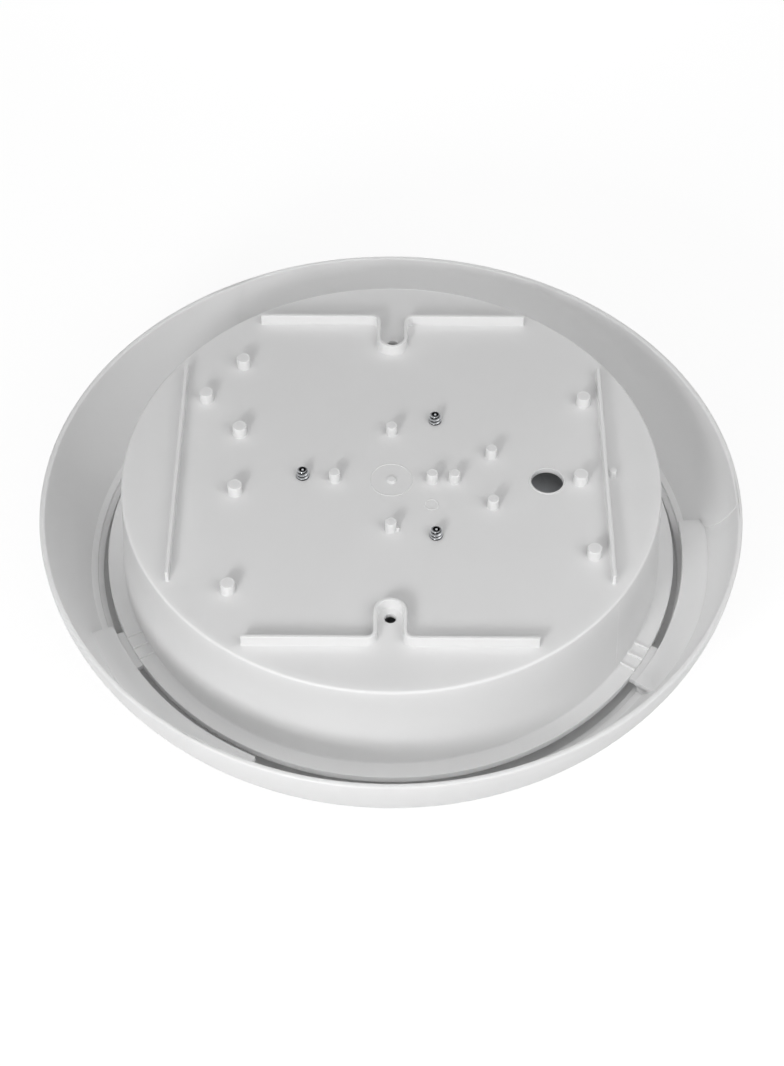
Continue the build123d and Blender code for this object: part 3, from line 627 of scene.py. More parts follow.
@dataclass
class BowlCover:
    """Opal bowl with a thin rim, a stepped inner ledge and three locking tongues.

    Sizes are in millimetres. Arcs, bearings and the crease's lean and reach are in degrees.
    """

    rim_r: float = 150.0
    dome_h: float = 82.2
    wall: float = 2.4
    rim_z: float = -12.6
    rim_edge: float = 0.8
    ledge_w: float = 2.9
    ledge_z: float = -48.6
    lower_ledge_w: float = 2.6
    lower_ledge_drop: float = 1.6
    tongue_w: float = 9.4
    tongue_t: float = 3.1
    tongue_z: float = -42.2
    tongue_start: float = -37.0
    tongue_arc: float = 41.9
    tongue_edge: float = 0.3
    stop_arc: float = 0.8
    relief: float = 0.3
    relief_root: float = 1.4
    relief_fade: float = 4.0
    crease_first: float = 3.0
    crease_rest: float = 3.8
    crease_rise: float = 1.6
    crease_reach: float = 18.0
    step: float = 1.0
    outer_rings: int = 54
    inner_rings: int = 40
    wall_shares: tuple[float, ...] = (
        0.04, 0.10, 0.18, 0.28, 0.38, 0.48, 0.58, 0.68, 0.77, 0.84, 0.89, 0.93, 0.96, 0.98, 1.0,
    )

    def __post_init__(self) -> None:
        """Work out the places that follow from the sizes."""
        self.under_z = self.tongue_z - self.tongue_t
        self.tongue_r = self.radius(self.tongue_z, self.wall) - self.tongue_w
        self.ledge_r = self.radius(self.ledge_z, self.wall) - self.ledge_w
        self.lower_z = self.ledge_z - self.lower_ledge_drop
        self.lower_r = self.ledge_r - self.lower_ledge_w
        edge = math.degrees(self.tongue_edge / self.tongue_r)
        loss = self.tongue_edge / self.tongue_w
        starts = [self.tongue_start + turn for turn in THIRDS]
        self.tongues = [Sector(start, self.tongue_arc, edge, loss) for start in starts]
        self.stops = [Sector(start, self.stop_arc, edge / 2, loss) for start in starts]

    def radius(self, z: float, depth: float) -> float:
        """Radius of the bowl at a height, a depth inside its outer face."""
        fall = (self.rim_z - z) / (self.dome_h - depth)
        return (self.rim_r - depth) * math.sqrt(1 - fall**2)

    def crease(self, bearing: float, z: float) -> float:
        """Degrees by which the mould's crease above a tongue's end leans at a height.

        Args:
            bearing: Bearing of the column of points at the tongue.
            z: Height of the point.

        Returns:
            Change of bearing, which fades out away from the tongue's end.
        """
        rise = z - self.tongue_z
        if rise <= 0:
            return 0.0
        lean = self.crease_first * (1 - math.exp(-rise / self.crease_rise))
        lean += self.crease_rest * rise / (self.rim_z - self.tongue_z)
        away = min(abs((bearing - t.start - t.arc + 180) % 360 - 180) for t in self.tongues)
        if away >= self.crease_reach:
            return 0.0
        return -lean * (1 + math.cos(math.pi * away / self.crease_reach)) / 2

    def outside(self) -> list[Point]:
        """Outer face and rim, from the middle of the dome to the top of the rim."""
        count = self.outer_rings
        low = math.asin(self.rim_edge / self.dome_h)
        angles = [NEAR_POLE + (low - NEAR_POLE) * i / count for i in range(count + 1)]
        face = [(self.rim_r * math.cos(a), self.rim_z - self.dome_h * math.sin(a)) for a in angles]
        centre_r, centre_z = self.rim_r - self.rim_edge, self.rim_z - self.rim_edge
        edge = self.rim_edge
        lip = [(centre_r + edge * cos, centre_z + edge * sin) for cos, sin in quarter(5)[1:]]
        return face + lip

    def upper_inside(self, held: float) -> list[Point]:
        """Inner wall from the rim down to the tongues.

        Args:
            held: Share of the relief that the mould leaves above a tongue.

        Returns:
            Points from the rim down.
        """
        edge = self.rim_edge
        inner_r = self.rim_r - self.wall + self.relief * held
        lip = [(inner_r + edge - edge * sin, self.rim_z - edge + edge * cos) for cos, sin in quarter(5)]
        top_z = self.rim_z - edge
        wall = []
        for share in self.wall_shares:
            z = top_z + (self.tongue_z - top_z) * share
            near = math.exp((self.tongue_z - z) / self.relief_fade)
            deep = self.relief + (self.relief_root - self.relief) * near
            wall.append((self.radius(z, self.wall - deep * held), z))
        return lip + wall

    def lip(self, radius: float, z: float) -> list[Point]:
        """Rounded upper edge of a tongue or a ledge, from its top to its inner face."""
        edge = self.tongue_edge
        return [(radius + edge * (1 - sin), z - edge * (1 - cos)) for cos, sin in quarter(3)]

    def tongue(self, held: float) -> list[Point]:
        """Tongue, or the plain wall where there is none.

        Args:
            held: How far the tongue stands out, from 0 to 1.

        Returns:
            Points from the tongue's top to its underside.
        """
        edge = self.tongue_edge
        tip = self.tongue_r
        root_r = self.radius(self.tongue_z, self.wall)
        under_r = self.radius(self.under_z, self.wall)
        crown = self.lip(tip, self.tongue_z)
        keel = [(tip + edge * (1 - cos), self.under_z + edge * (1 - sin)) for cos, sin in quarter(3)]
        flat = [(root_r + (tip + edge - root_r) * share, self.tongue_z) for share in (0.1, 0.4, 0.7)]
        below = [(under_r + (tip + edge - under_r) * share, self.under_z) for share in (0.7, 0.4, 0.1)]
        shape = flat + crown + keel + below
        wall = []
        for i in range(len(shape)):
            z = self.tongue_z - self.tongue_t * (i + 0.5) / len(shape)
            wall.append((self.radius(z, self.wall), z))
        return [
            (wall_r + (r - wall_r) * held, wall_z + (z - wall_z) * held)
            for (r, z), (wall_r, wall_z) in zip(shape, wall)
        ]

    def lower_inside(self, stopped: float) -> list[Point]:
        """Inner wall under the tongues, the stepped ledge and the dome.

        Args:
            stopped: How far a tongue's stop fills the wall above the ledge, from 0 to 1.

        Returns:
            Points from the tongues' underside to the middle of the dome.
        """
        edge = self.tongue_edge
        wall = []
        for share in (0.0, 0.3, 0.6, 1.0):
            z = self.under_z + (self.ledge_z - self.under_z) * share
            radius = self.radius(z, self.wall)
            wall.append((radius + (self.ledge_r - radius) * stopped, z))
        riser = [(self.ledge_r, self.lower_z + edge / 2), (self.ledge_r - edge / 2, self.lower_z)]
        ledges = self.lip(self.ledge_r, self.ledge_z) + riser + self.lip(self.lower_r, self.lower_z)
        low = math.acos(self.lower_r / (self.rim_r - self.wall))
        count = self.inner_rings
        angles = [low + (NEAR_POLE - low) * i / count for i in range(count + 1)]
        deep_r, deep_h = self.rim_r - self.wall, self.dome_h - self.wall
        dome = [(deep_r * math.cos(a), self.rim_z - deep_h * math.sin(a)) for a in angles]
        return wall + ledges + dome

    def build(self) -> bpy.types.Object:
        """Make the whole bowl as one skin."""
        columns = bearings(self.step, [stop for s in self.tongues + self.stops for stop in s.stops()])
        sections = []
        for bearing in columns:
            held = max(tongue.reach(bearing) for tongue in self.tongues)
            stopped = max(stop.reach(bearing) for stop in self.stops)
            relieved = max(tongue.share(bearing) for tongue in self.tongues)
            outside = self.outside()
            inside = self.upper_inside(relieved) + self.tongue(held) + self.lower_inside(stopped)
            spots = []
            for i, (radius, z) in enumerate(outside + inside):
                lean = self.crease(bearing, z) if i >= len(outside) else 0.0
                angle = math.radians(bearing + lean)
                spots.append((radius * math.cos(angle), radius * math.sin(angle), z))
            sections.append(spots)
        return Solid("bowl_cover_moulding").loft(list(zip(*sections))).object()


@dataclass
class BaseHousing:
    """Deep white pan with ribs, screw pegs and three lugs on its flange.

    Sizes are in millimetres. Arcs, bearings and the corners of lugs and braces are in degrees.
    """

    bowl: BowlCover
    plate_t: float = 2.4
    wall_t: float = 2.4
    wall_draft: float = 2.6
    back_edge: float = 1.1
    foot_edge: float = 0.8
    flange_w: float = 7.0
    flange_t: float = 3.6
    flange_gap: float = 3.7
    flange_edge: float = 0.3
    lug_t: float = 2.6
    lug_gap: float = 0.8
    lug_arc: float = 9.2
    lug_lead: float = 1.0
    lug_corner: float = 0.2
    lug_corner_loss: float = 0.06
    lug_slope: float = 0.01
    play: float = 0.3
    brace_steps: tuple[float, ...] = (1.6, 4.7, 7.6)
    brace_h: float = 0.8
    brace_arc: float = 0.5
    brace_corner: float = 0.15
    brace_corner_loss: float = 0.35
    witness: float = 0.06
    rib_t: float = 1.6
    rib_h: float = 5.2
    rib_in: float = 23.67
    rib_end_gap: float = 6.3
    rib_foot: float = 0.6
    rib_edge: float = 0.35
    rib_core: float = 0.25
    inner_corner: float = 1.0
    mount_in: float = 13.2
    mount_hole_r: float = 2.4
    boss_r: float = 6.0
    boss_corner: float = 3.4
    mid_y: float = -3.5
    cable_x: float = 66.0
    cable_r: float = 6.85
    cable_lip_t: float = 0.7
    cable_lip_h: float = 0.4
    cable_lip_foot: float = 0.25
    cable_lip_edge: float = 0.15
    gate_r: float = 9.2
    gate_line: float = 0.5
    gate_h: float = 0.25
    gate_nub_r: float = 2.1
    gate_nub_h: float = 0.7
    gate_nub_foot: float = 0.4
    gate_nub_draft: float = 0.3
    mark_foot: float = 0.3
    mark_edge: float = 0.3
    pip: Point = (2.9, -31.2)
    pip_r: float = 0.7
    pip_h: float = 1.3
    ejector: Point = (17.0, -17.2)
    ejector_r: float = 3.1
    peg_h: float = 5.0
    peg_dish: float = 0.2
    peg_edge: float = 0.7
    peg_edge_r: float = 0.3
    peg_dish_lip: float = 0.05
    peg_dish_slope: float = 0.35
    peg_foot: float = 0.5
    peg_hole_r: float = 1.25
    peg_hole_h: float = 5.3
    large_peg_r: float = 3.1
    small_peg_r: float = 2.45
    locating_peg_r: float = 1.7
    locating_peg_h: float = 3.4
    locating_peg_out: float = 3.0
    post_r: float = 5.0
    post_len: float = 30.0
    post_hole_r: float = 2.75
    screw_ring_r: float = 37.5
    screw_ring_y: float = -1.5
    screw_bearings: tuple[float, ...] = (60, 180, 300)
    hole_edge: float = 0.2
    hole_over: float = 1.0
    step: float = 1.5
    wall_shares: tuple[float, ...] = (0.06, 0.14, 0.25, 0.4, 0.55, 0.7, 0.82, 0.91, 0.96)
    large_pegs: list[Point] = field(
        default_factory=lambda: [
            (-65.8, 63.7),
            (-65.8, -63.7),
            (-81.0, 42.8),
            (-65.4, 22.8),
            (-65.7, -10.8),
            (83.5, 41.8),
            (83.5, -44.2),
            (80.0, -3.5),
        ]
    )
    small_pegs: list[Point] = field(
        default_factory=lambda: [
            (0.0, 23.7),
            (0.0, -30.7),
            (42.7, 10.7),
            (42.7, -17.7),
            (-24.0, -3.5),
            (17.3, -3.5),
            (26.7, -3.5),
        ]
    )

    def __post_init__(self) -> None:
        """Work out the places that follow from the sizes."""
        bowl = self.bowl
        self.inner_z = -self.plate_t
        self.lug_z = bowl.under_z - self.play
        self.foot_z = self.lug_z - self.lug_t
        self.flange_z = self.foot_z + self.flange_t
        self.flange_r = bowl.tongue_r - self.flange_gap
        self.foot_r = self.flange_r - self.flange_w
        self.drum_r = self.foot_r - self.wall_draft
        self.lug_r = bowl.radius(self.foot_z, bowl.wall) - self.lug_gap
        self.rib_off = self.drum_r - self.rib_in
        self.rib_half = math.sqrt((self.drum_r - self.rib_end_gap) ** 2 - self.rib_off**2)
        self.mount_half = self.rib_off - self.mount_in
        starts = [bowl.tongue_start + self.lug_lead + turn for turn in THIRDS]
        lug_end = (self.lug_corner, self.lug_corner_loss)
        self.lugs = [Sector(start, self.lug_arc, *lug_end) for start in starts]
        brace_starts = [start + step for start in starts for step in self.brace_steps]
        brace_end = (self.brace_corner, self.brace_corner_loss)
        self.braces = [Sector(start, self.brace_arc, *brace_end) for start in brace_starts]
        angles = [math.radians(bearing) for bearing in self.screw_bearings]
        ring_r, ring_y = self.screw_ring_r, self.screw_ring_y
        self.screw_spots = [(ring_r * math.cos(a), ring_y + ring_r * math.sin(a)) for a in angles]

    def wall_r(self, z: float) -> float:
        """Radius of the drafted outer wall at a height."""
        return self.drum_r + self.wall_draft * z / self.flange_z

    def section(self, bearing: float) -> list[Point]:
        """Section of the pan at a bearing.

        Args:
            bearing: Bearing in degrees.

        Returns:
            Points from the flat back, down the outer wall, under the flange and up inside.
        """
        lug = max(sector.reach(bearing) for sector in self.lugs)
        brace = max(sector.reach(bearing) for sector in self.braces)
        edge = self.back_edge
        back = [(self.drum_r - edge * (1 - sin), -edge * (1 - cos)) for cos, sin in quarter(6)]
        foot_top = self.flange_z + self.foot_edge
        proud = self.witness * (1.0 if lug > 0 else 0.0)
        heights = [-edge + (foot_top + edge) * share for share in self.wall_shares]
        wall = [(self.wall_r(z) + proud, z) for z in heights]
        rise = self.brace_h * brace
        top_z = self.flange_z + rise
        soft = self.foot_edge
        hollow = [(self.foot_r + soft * (1 - cos), top_z + soft * (1 - sin)) for cos, sin in quarter(4)]
        rim = self.flange_edge
        flat = [((self.foot_r + soft + self.flange_r - rim) / 2, top_z)]
        crown = [(self.flange_r - rim * (1 - sin), top_z - rim * (1 - cos)) for cos, sin in quarter(3)]
        out = (self.lug_r - self.flange_r) * lug
        side = [
            (self.flange_r, self.lug_z),
            (self.flange_r + out * 0.5, self.lug_z - self.lug_slope),
            (self.flange_r + out - rim * lug, self.lug_z - 2 * self.lug_slope),
            (self.flange_r + out, self.lug_z - rim),
            (self.flange_r + out, self.foot_z + rim),
            (self.flange_r + out - rim, self.foot_z),
        ]
        inner_r = self.foot_r - self.wall_t
        top_r = self.drum_r - self.wall_t
        corner = self.inner_corner
        inside = [
            (inner_r, self.foot_z),
            (inner_r + (top_r - inner_r) * 0.5, (self.foot_z + self.inner_z) / 2),
            (top_r, self.inner_z - corner),
            (top_r - corner * 0.3, self.inner_z - corner * 0.3),
            (top_r - corner, self.inner_z),
        ]
        return back + wall + hollow + flat + crown + side + inside

    def pan(self) -> bpy.types.Object:
        """Turned pan with its flange, lugs and braces."""
        columns = bearings(self.step, [stop for s in self.lugs + self.braces for stop in s.stops()])
        sections = []
        for bearing in columns:
            cos, sin = math.cos(math.radians(bearing)), math.sin(math.radians(bearing))
            sections.append([(r * cos, r * sin, z) for r, z in self.section(bearing)])
        return Solid("base_housing_moulding").loft(list(zip(*sections))).object()

    def rib_line(self, corners: Sequence[Point], radii: Sequence[float]) -> list[tuple[float, float, float]]:
        """Middle line of a rib with rounded bends.

        Args:
            corners: Ends and corners of the line.
            radii: Radius at each corner between the ends.

        Returns:
            Place and direction of each point.
        """
        line = []
        heading = math.atan2(corners[1][1] - corners[0][1], corners[1][0] - corners[0][0])
        line.append((*corners[0], heading))
        for corner, ahead, radius in zip(corners[1:], corners[2:], radii):
            after = math.atan2(ahead[1] - corner[1], ahead[0] - corner[0])
            turn = (after - heading + math.pi) % (2 * math.pi) - math.pi
            side = math.copysign(1, turn)
            back_off = radius * math.tan(abs(turn) / 2)
            start_x = corner[0] - back_off * math.cos(heading)
            start_y = corner[1] - back_off * math.sin(heading)
            centre_x = start_x - side * radius * math.sin(heading)
            centre_y = start_y + side * radius * math.cos(heading)
            for i in range(BEND_STEPS + 1):
                angle = heading + turn * i / BEND_STEPS
                out = side * radius
                line.append((centre_x + out * math.sin(angle), centre_y - out * math.cos(angle), angle))
            heading = after
        line.append((*corners[-1], heading))
        return line

    def rib(self, solid: Solid, line: Sequence[tuple[float, float, float]]) -> None:
        """Raise one rib along its middle line.

        Args:
            solid: Skin that takes the rib.
            line: Place and direction of each point of the middle line.
        """
        core = self.rib_core
        outline: list[tuple[float, float, float]] = []
        for points, flip in ((line, 0.0), (line[::-1], math.pi)):
            for x, y, heading in points:
                normal = heading + flip - math.pi / 2
                outline.append((x + core * math.cos(normal), y + core * math.sin(normal), normal))
            x, y, heading = points[-1]
            for turn in (math.pi / 6, math.pi / 3, math.pi / 2):
                normal = heading + flip - math.pi / 2 + turn
                side = heading + flip - math.pi / 2
                outline.append((x + core * math.cos(side), y + core * math.sin(side), normal))
            for turn in (0.0, math.pi / 6, math.pi / 3):
                normal = heading + flip + turn
                side = heading + flip + math.pi / 2
                outline.append((x + core * math.cos(side), y + core * math.sin(side), normal))
        profile = raised_profile(self.rib_t / 2, self.rib_h, self.rib_foot, self.rib_edge)
        rings = []
        for half, z in profile:
            out = half - core
            rings.append([(x + out * math.cos(n), y + out * math.sin(n), z) for x, y, n in outline])
        solid.loft(rings)

    def details(self) -> bpy.types.Object:
        """Everything that stands on the flat back, and the posts inside, as one form."""
        solid = Solid("base_details")
        bend = [
            (-self.rib_half, self.rib_off),
            (-self.boss_r, self.rib_off),
            (-self.boss_r, self.mount_half - self.boss_r),
            (self.boss_r, self.mount_half - self.boss_r),
            (self.boss_r, self.rib_off),
            (self.rib_half, self.rib_off),
        ]
        radii = (self.boss_corner, self.boss_r, self.boss_r, self.boss_corner)
        self.rib(solid, self.rib_line(bend, radii))
        self.rib(solid, self.rib_line([(-x, -y) for x, y in bend], radii))
        for x in (self.rib_off, -self.rib_off):
            self.rib(solid, self.rib_line([(x, -self.rib_half), (x, self.rib_half)], ()))
        for spots, radius in ((self.large_pegs, self.large_peg_r), (self.small_pegs, self.small_peg_r)):
            dish_r = radius - self.peg_edge
            profile = raised_profile(radius, self.peg_h, self.peg_foot, self.peg_edge_r)
            profile.append((dish_r, self.peg_h - self.peg_dish_lip))
            profile.append((dish_r - self.peg_dish_slope, self.peg_h - self.peg_dish))
            for x, y in spots:
                solid.loft(turned(x, y, profile, Facets.PEG))
        lip_r = self.cable_r + self.cable_lip_t
        lip = raised_profile(lip_r, self.cable_lip_h, self.cable_lip_foot, self.cable_lip_edge, draft=0.0)
        solid.loft(turned(self.cable_x, self.mid_y, lip, Facets.LARGE_RING))
        for x, y in self.screw_spots:
            post = [(self.post_r, EMBED_MM + self.inner_z), (self.post_r, self.inner_z - self.post_len)]
            solid.loft(turned(x, y, post[::-1], Facets.POST))
        return solid.object()

    def marks(self) -> bpy.types.Object:
        """Marks that the mould leaves, the gate, an ejector and a pip, and the locating peg."""
        solid = Solid("base_marks")
        for x, y, radius in ((0.0, self.mid_y, self.gate_r), (*self.ejector, self.ejector_r)):
            low, high = radius - self.gate_line, radius
            third = self.gate_line / 3
            bead = [
                (high, -EMBED_MM),
                (high - third / 2, self.gate_h / 2),
                (high - third, self.gate_h),
                (low + third, self.gate_h),
                (low + third / 2, self.gate_h / 2),
                (low, -EMBED_MM),
            ]
            solid.loft(turned(x, y, bead, Facets.LARGE_RING), closed=True)
        foot, edge = self.mark_foot, self.mark_edge
        nub = raised_profile(self.gate_nub_r, self.gate_nub_h, self.gate_nub_foot, edge, self.gate_nub_draft)
        solid.loft(turned(0.0, self.mid_y, nub, Facets.PEG))
        pip = raised_profile(self.pip_r, self.pip_h, foot, edge)
        solid.loft(turned(*self.pip, pip, Facets.PIP))
        peg = raised_profile(self.locating_peg_r, self.locating_peg_h, foot, edge)
        solid.loft(turned(self.rib_off + self.locating_peg_out, 0.0, peg, Facets.LOCATING_PEG))
        return solid.object()

    def holes(self) -> bpy.types.Object:
        """Every hole of the base, as one form to cut with."""
        solid = Solid("base_holes")
        over = self.hole_over

        def hole(x: float, y: float, radius: float, low: float, high: float, count: int) -> None:
            """Add a hole whose upper edge is rounded off."""
            soft = self.hole_edge
            crown = [(radius + soft * (1 - cos), high - soft * (1 - sin)) for cos, sin in quarter(3)]
            solid.loft(turned(x, y, [(radius, low)] + crown + [(radius + soft, high + over)], count))

        below = self.inner_z - over
        for y in (self.mount_half, -self.mount_half):
            hole(0.0, y, self.mount_hole_r, below, 0.0, Facets.MOUNT_HOLE)
        hole(self.cable_x, self.mid_y, self.cable_r, below, self.cable_lip_h, Facets.LARGE_RING)
        for x, y in self.screw_spots:
            hole(x, y, self.post_hole_r, below - self.post_len, 0.0, Facets.SCREW_HOLE)
        blind_top = self.peg_hole_h - self.plate_t
        for x, y in self.large_pegs + self.small_pegs:
            blind = [(self.peg_hole_r, below), (self.peg_hole_r, blind_top)]
            solid.loft(turned(x, y, blind, Facets.BLIND_HOLE))
        return solid.object()

    def build(self) -> bpy.types.Object:
        """Make the whole base as one skin."""
        piece = self.pan()
        merge(piece, self.details(), Merge.GROW)
        merge(piece, self.marks(), Merge.GROW)
        merge(piece, self.holes(), Merge.CUT)
        return piece


@dataclass
class TrayScrews:
    """Three long self-tapping screws whose blunt ends stand out of the back. Sizes are in millimetres."""

    spots: Sequence[Point]
    seat_z: float = -33.6
    head_r: float = 5.0
    head_h: float = 3.0
    # Shares of the head's radius and height, from its top down to its seat
    head_shape: tuple[Point, ...] = ((0.45, 0.0), (0.75, 0.18), (0.94, 0.5), (1.0, 0.85))
    head_chamfer: float = 0.2
    slot_depth: float = 1.5
    shank_r: float = 2.7
    thread_from: float = -9.0
    end_h: float = 4.1
    end_r: float = 2.2
    cup_r: float = 1.35
    cup_depth: float = 0.9
    pip_r: float = 0.5
    pip_foot_r: float = 0.8
    # Round the end's pip the points get no painted shade, so its tip keeps the plain metal colour
    pip_unshaded_r: float = 0.55
    pitch: float = 1.8
    depth: float = 0.75
    ridge_steep: float = 1.5
    rows_per_turn: int = 12
    count: int = 36

    def crest(self, z: float) -> float:
        """Radius of the thread's crest at a height, which falls towards the end."""
        rise = max(z, 0.0) / self.end_h
        return self.shank_r + (self.end_r - self.shank_r) * rise**3

    def screw(self, solid: Solid, x: float, y: float) -> None:
        """Add one screw, end up.

        Args:
            solid: Skin that takes the screw.
            x: Place of its axis.
            y: Place of its axis.
        """
        low = self.seat_z - self.head_h
        head = [(self.head_r * wide, low + self.head_h * up) for wide, up in self.head_shape]
        head += [(self.head_r - self.head_chamfer, self.seat_z), (self.shank_r, self.seat_z)]
        rings = turned(x, y, head, self.count)
        start = self.thread_from
        steps = round((self.end_h - start) / self.pitch * self.rows_per_turn)
        for i in range(steps + 1):
            z = start + (self.end_h - start) * i / steps
            ring = []
            for j in range(self.count):
                turn = j / self.count
                phase = (z / self.pitch - turn) % 1.0
                ridge = max(0.0, 1 - abs(2 * phase - 1) * self.ridge_steep)
                fade = min(1.0, (z - start) / self.pitch)
                crest = self.crest(z)
                radius = crest - self.depth * fade * (1 - ridge)
                angle = 2 * math.pi * turn
                ring.append((x + radius * math.cos(angle), y + radius * math.sin(angle), z))
            rings.append(ring)
        cup = [
            (self.cup_r, self.end_h),
            (self.pip_foot_r, self.end_h - self.cup_depth),
            (self.pip_r, self.end_h - self.pip_r / 2),
        ]
        solid.loft(rings + turned(x, y, cup, self.count))

    def cross(self, x: float, y: float) -> Solid:
        """Crossed slot of one head, as a form to cut with."""
        solid = Solid("tray_screw_slot")
        low = self.seat_z - 2 * self.head_h
        high = self.seat_z - self.head_h + self.slot_depth
        arm, half = self.head_r / 2, self.head_r / 10
        plan = [
            (arm, -half), (arm, half), (half, half), (half, arm), (-half, arm), (-half, half),
            (-arm, half), (-arm, -half), (-half, -half), (-half, -arm), (half, -arm), (half, -half),
        ]
        solid.loft([[(x + px, y + py, z) for px, py in plan] for z in (low, high)])
        return solid

    def mark_painted_root_shade(self, piece: bpy.types.Object) -> None:
        """Write down how deep in the thread each point lies, as the share of painted shade that the finish
        lays on it.

        Args:
            piece: The three screws.
        """
        marks = piece.data.attributes.new(ROOT_SHADE_MARK, "FLOAT", "POINT")
        for point, mark in zip(piece.data.vertices, marks.data):
            x, y, z = point.co / MM
            radius = min(math.hypot(x - spot_x, y - spot_y) for spot_x, spot_y in self.spots)
            # The end's cup lies inside the crest, so it gets full painted shade; the pip's tip gets none
            threaded = z > self.thread_from and radius > self.pip_unshaded_r
            deep = (self.crest(z) - radius) / self.depth if threaded else 0.0
            mark.value = min(max(deep, 0.0), 1.0)

    def build(self) -> bpy.types.Object:
        """Make the three screws as one piece."""
        solid = Solid("tray_screws_plated")
        for x, y in self.spots:
            self.screw(solid, x, y)
        piece = solid.object()
        for x, y in self.spots:
            merge(piece, self.cross(x, y).object(), Merge.CUT)
        self.mark_painted_root_shade(piece)
        return piece


class Finishes:
    """All the finishes of the lamp, by the record's slot."""

    def __init__(self) -> None:
        """List the finishes. The transformer's band is placed from the frame."""
        low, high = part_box("driver_transformer")
        middle_mm = (low[1] + high[1]) / 2 / MM
        third_mm = (high[1] - low[1]) / 3 / MM
        self.by_slot: dict[str, Finish] = {
            # Opal acrylic, moulded in a lightly frosted tool: an even soft white that lets light through.
            "opal_cover": Finish(
                "opal_acrylic_moulded", "#F2F2F2", "#EEEEEE",
                rough=(0.36, 0.46), patch_mm=40, grain_mm=0.9, grain_depth_mm=0.004, ior=1.49,
                scatter_mm=0.7, scatter=0.85,
            ),
            # Polypropylene, moulded in a spark-eroded tool: a dull white with a fine grain, a little clear.
            "white_housing": Finish(
                "polypropylene_moulded", "#ECECEC", "#E7E7E7",
                rough=(0.40, 0.52), patch_mm=32, grain_mm=0.7, grain_depth_mm=0.006, ior=1.49,
                scatter_mm=0.5, scatter=0.5,
            ),
            # Hot-dip galvanised steel, pressed: grey zinc crystals that differ in shade.
            "galvanised_sheet": Finish(
                "galvanised_steel_pressed", "#D2D4D6", "#BDBFC2",
                rough=(0.45, 0.62), patch_mm=7, grain_mm=0.8, grain_depth_mm=0.01, metallic=0.4,
                pattern=Pattern.CRYSTALS,
            ),
            # Zinc-plated steel, rolled and plated: a grey metal with dull patches, and painted shade in the
            # thread roots and the end's cup.
            "zinc_screw": ThreadedFinish(
                "zinc_plated_steel_rolled", "#D2D4D7", "#B6B8BB",
                rough=(0.18, 0.34), patch_mm=2.5, grain_mm=0.4, grain_depth_mm=0.01, metallic=1.0,
                # Colour of the painted shade in the thread roots and the end's cup
                root_shade_colour="#121213",
            ),
            # White solder mask on aluminium, screen printed and cured: a smooth, slightly glossy white.
            "board_white": Finish(
                "white_solder_mask_printed", "#F0F0EE", "#E8E8E5",
                rough=(0.24, 0.34), patch_mm=9, grain_mm=0.5, grain_depth_mm=0.004, ior=1.52,
            ),
            # White moulded package filled with phosphor gel: yellow soft windows in small white frames.
            "led_phosphor": FacedFinish(
                "silicone_phosphor_poured", "#E9E7DF", "#DFDCD0",
                rough=(0.22, 0.36), patch_mm=1.2, grain_mm=0.3, grain_depth_mm=0.006, ior=1.41,
                scatter_mm=0.05, scatter=0.2, face_colour="#E8C65A",
            ),
            # Nylon, moulded with a spark-eroded surface: a warm dull white.
            "white_nylon": Finish(
                "nylon_moulded", "#E3E2DC", "#DAD9D2",
                rough=(0.42, 0.56), patch_mm=14, grain_mm=0.6, grain_depth_mm=0.008, ior=1.53,
            ),
            # Glass-epoxy board under green solder mask: glossy green with paler tracks of copper beneath.
            "board_green": Finish(
                "green_solder_mask_curtain_coated", "#1E5A33", "#2E7A47",
                rough=(0.22, 0.32), patch_mm=3.0, grain_mm=0.5, grain_depth_mm=0.01,
                ior=1.55, coat=0.2, pattern=Pattern.TRACKS,
            ),
            # Ferrite core with polyester tape wound round it: dull black ends and a glossy yellow band.
            "transformer_tape": BandedFinish(
                "ferrite_and_polyester_tape_wound", "#2A2A2B", "#232324",
                rough=(0.30, 0.45), patch_mm=4, grain_mm=0.5, grain_depth_mm=0.01, ior=1.6,
                band_colour="#C9A227", band_from_mm=middle_mm - third_mm, band_to_mm=middle_mm + third_mm,
            ),
            # Shrink sleeve on an aluminium can: a glossy dark sleeve with a bare metal top.
            "capacitor_sleeve": FacedFinish(
                "shrink_sleeve_on_aluminium", "#17181C", "#1F2026",
                rough=(0.18, 0.30), patch_mm=3, grain_mm=0.5, grain_depth_mm=0.006, ior=1.53,
                coat=0.3, face_colour="#B9BBBD",
            ),
            # Sintered ferrite, tumbled: a dull, slightly gritty dark grey.
            "ferrite": Finish(
                "ferrite_sintered", "#2B2B2C", "#363637",
                rough=(0.50, 0.68), patch_mm=1.5, grain_mm=0.35, grain_depth_mm=0.02, ior=1.9,
            ),
            # Aluminium can, deep drawn: a pale metal with a soft sheen.
            "aerial_can": Finish(
                "aluminium_drawn", "#C9CACC", "#BCBEC0",
                rough=(0.28, 0.40), patch_mm=4, grain_mm=0.5, grain_depth_mm=0.006, metallic=1.0,
            ),
            # Acetal, moulded: a smooth black with a soft shine.
            "black_plastic": Finish(
                "acetal_moulded", "#161617", "#1D1D1E",
                rough=(0.30, 0.42), patch_mm=3, grain_mm=0.4, grain_depth_mm=0.006, ior=1.48,
            ),
            # Polycarbonate, moulded with a fine grain: an even mid grey.
            "grey_plastic": Finish(
                "polycarbonate_moulded", "#73767A", "#6B6E72",
                rough=(0.36, 0.48), patch_mm=4, grain_mm=0.5, grain_depth_mm=0.008, ior=1.58,
            ),
            # Spring brass, stamped: warm yellow metal with a rolled sheen.
            "spring_brass": Finish(
                "spring_brass_stamped", "#C9A65A", "#B8944A",
                rough=(0.24, 0.36), patch_mm=3, grain_mm=0.4, grain_depth_mm=0.006, metallic=1.0,
            ),
        }
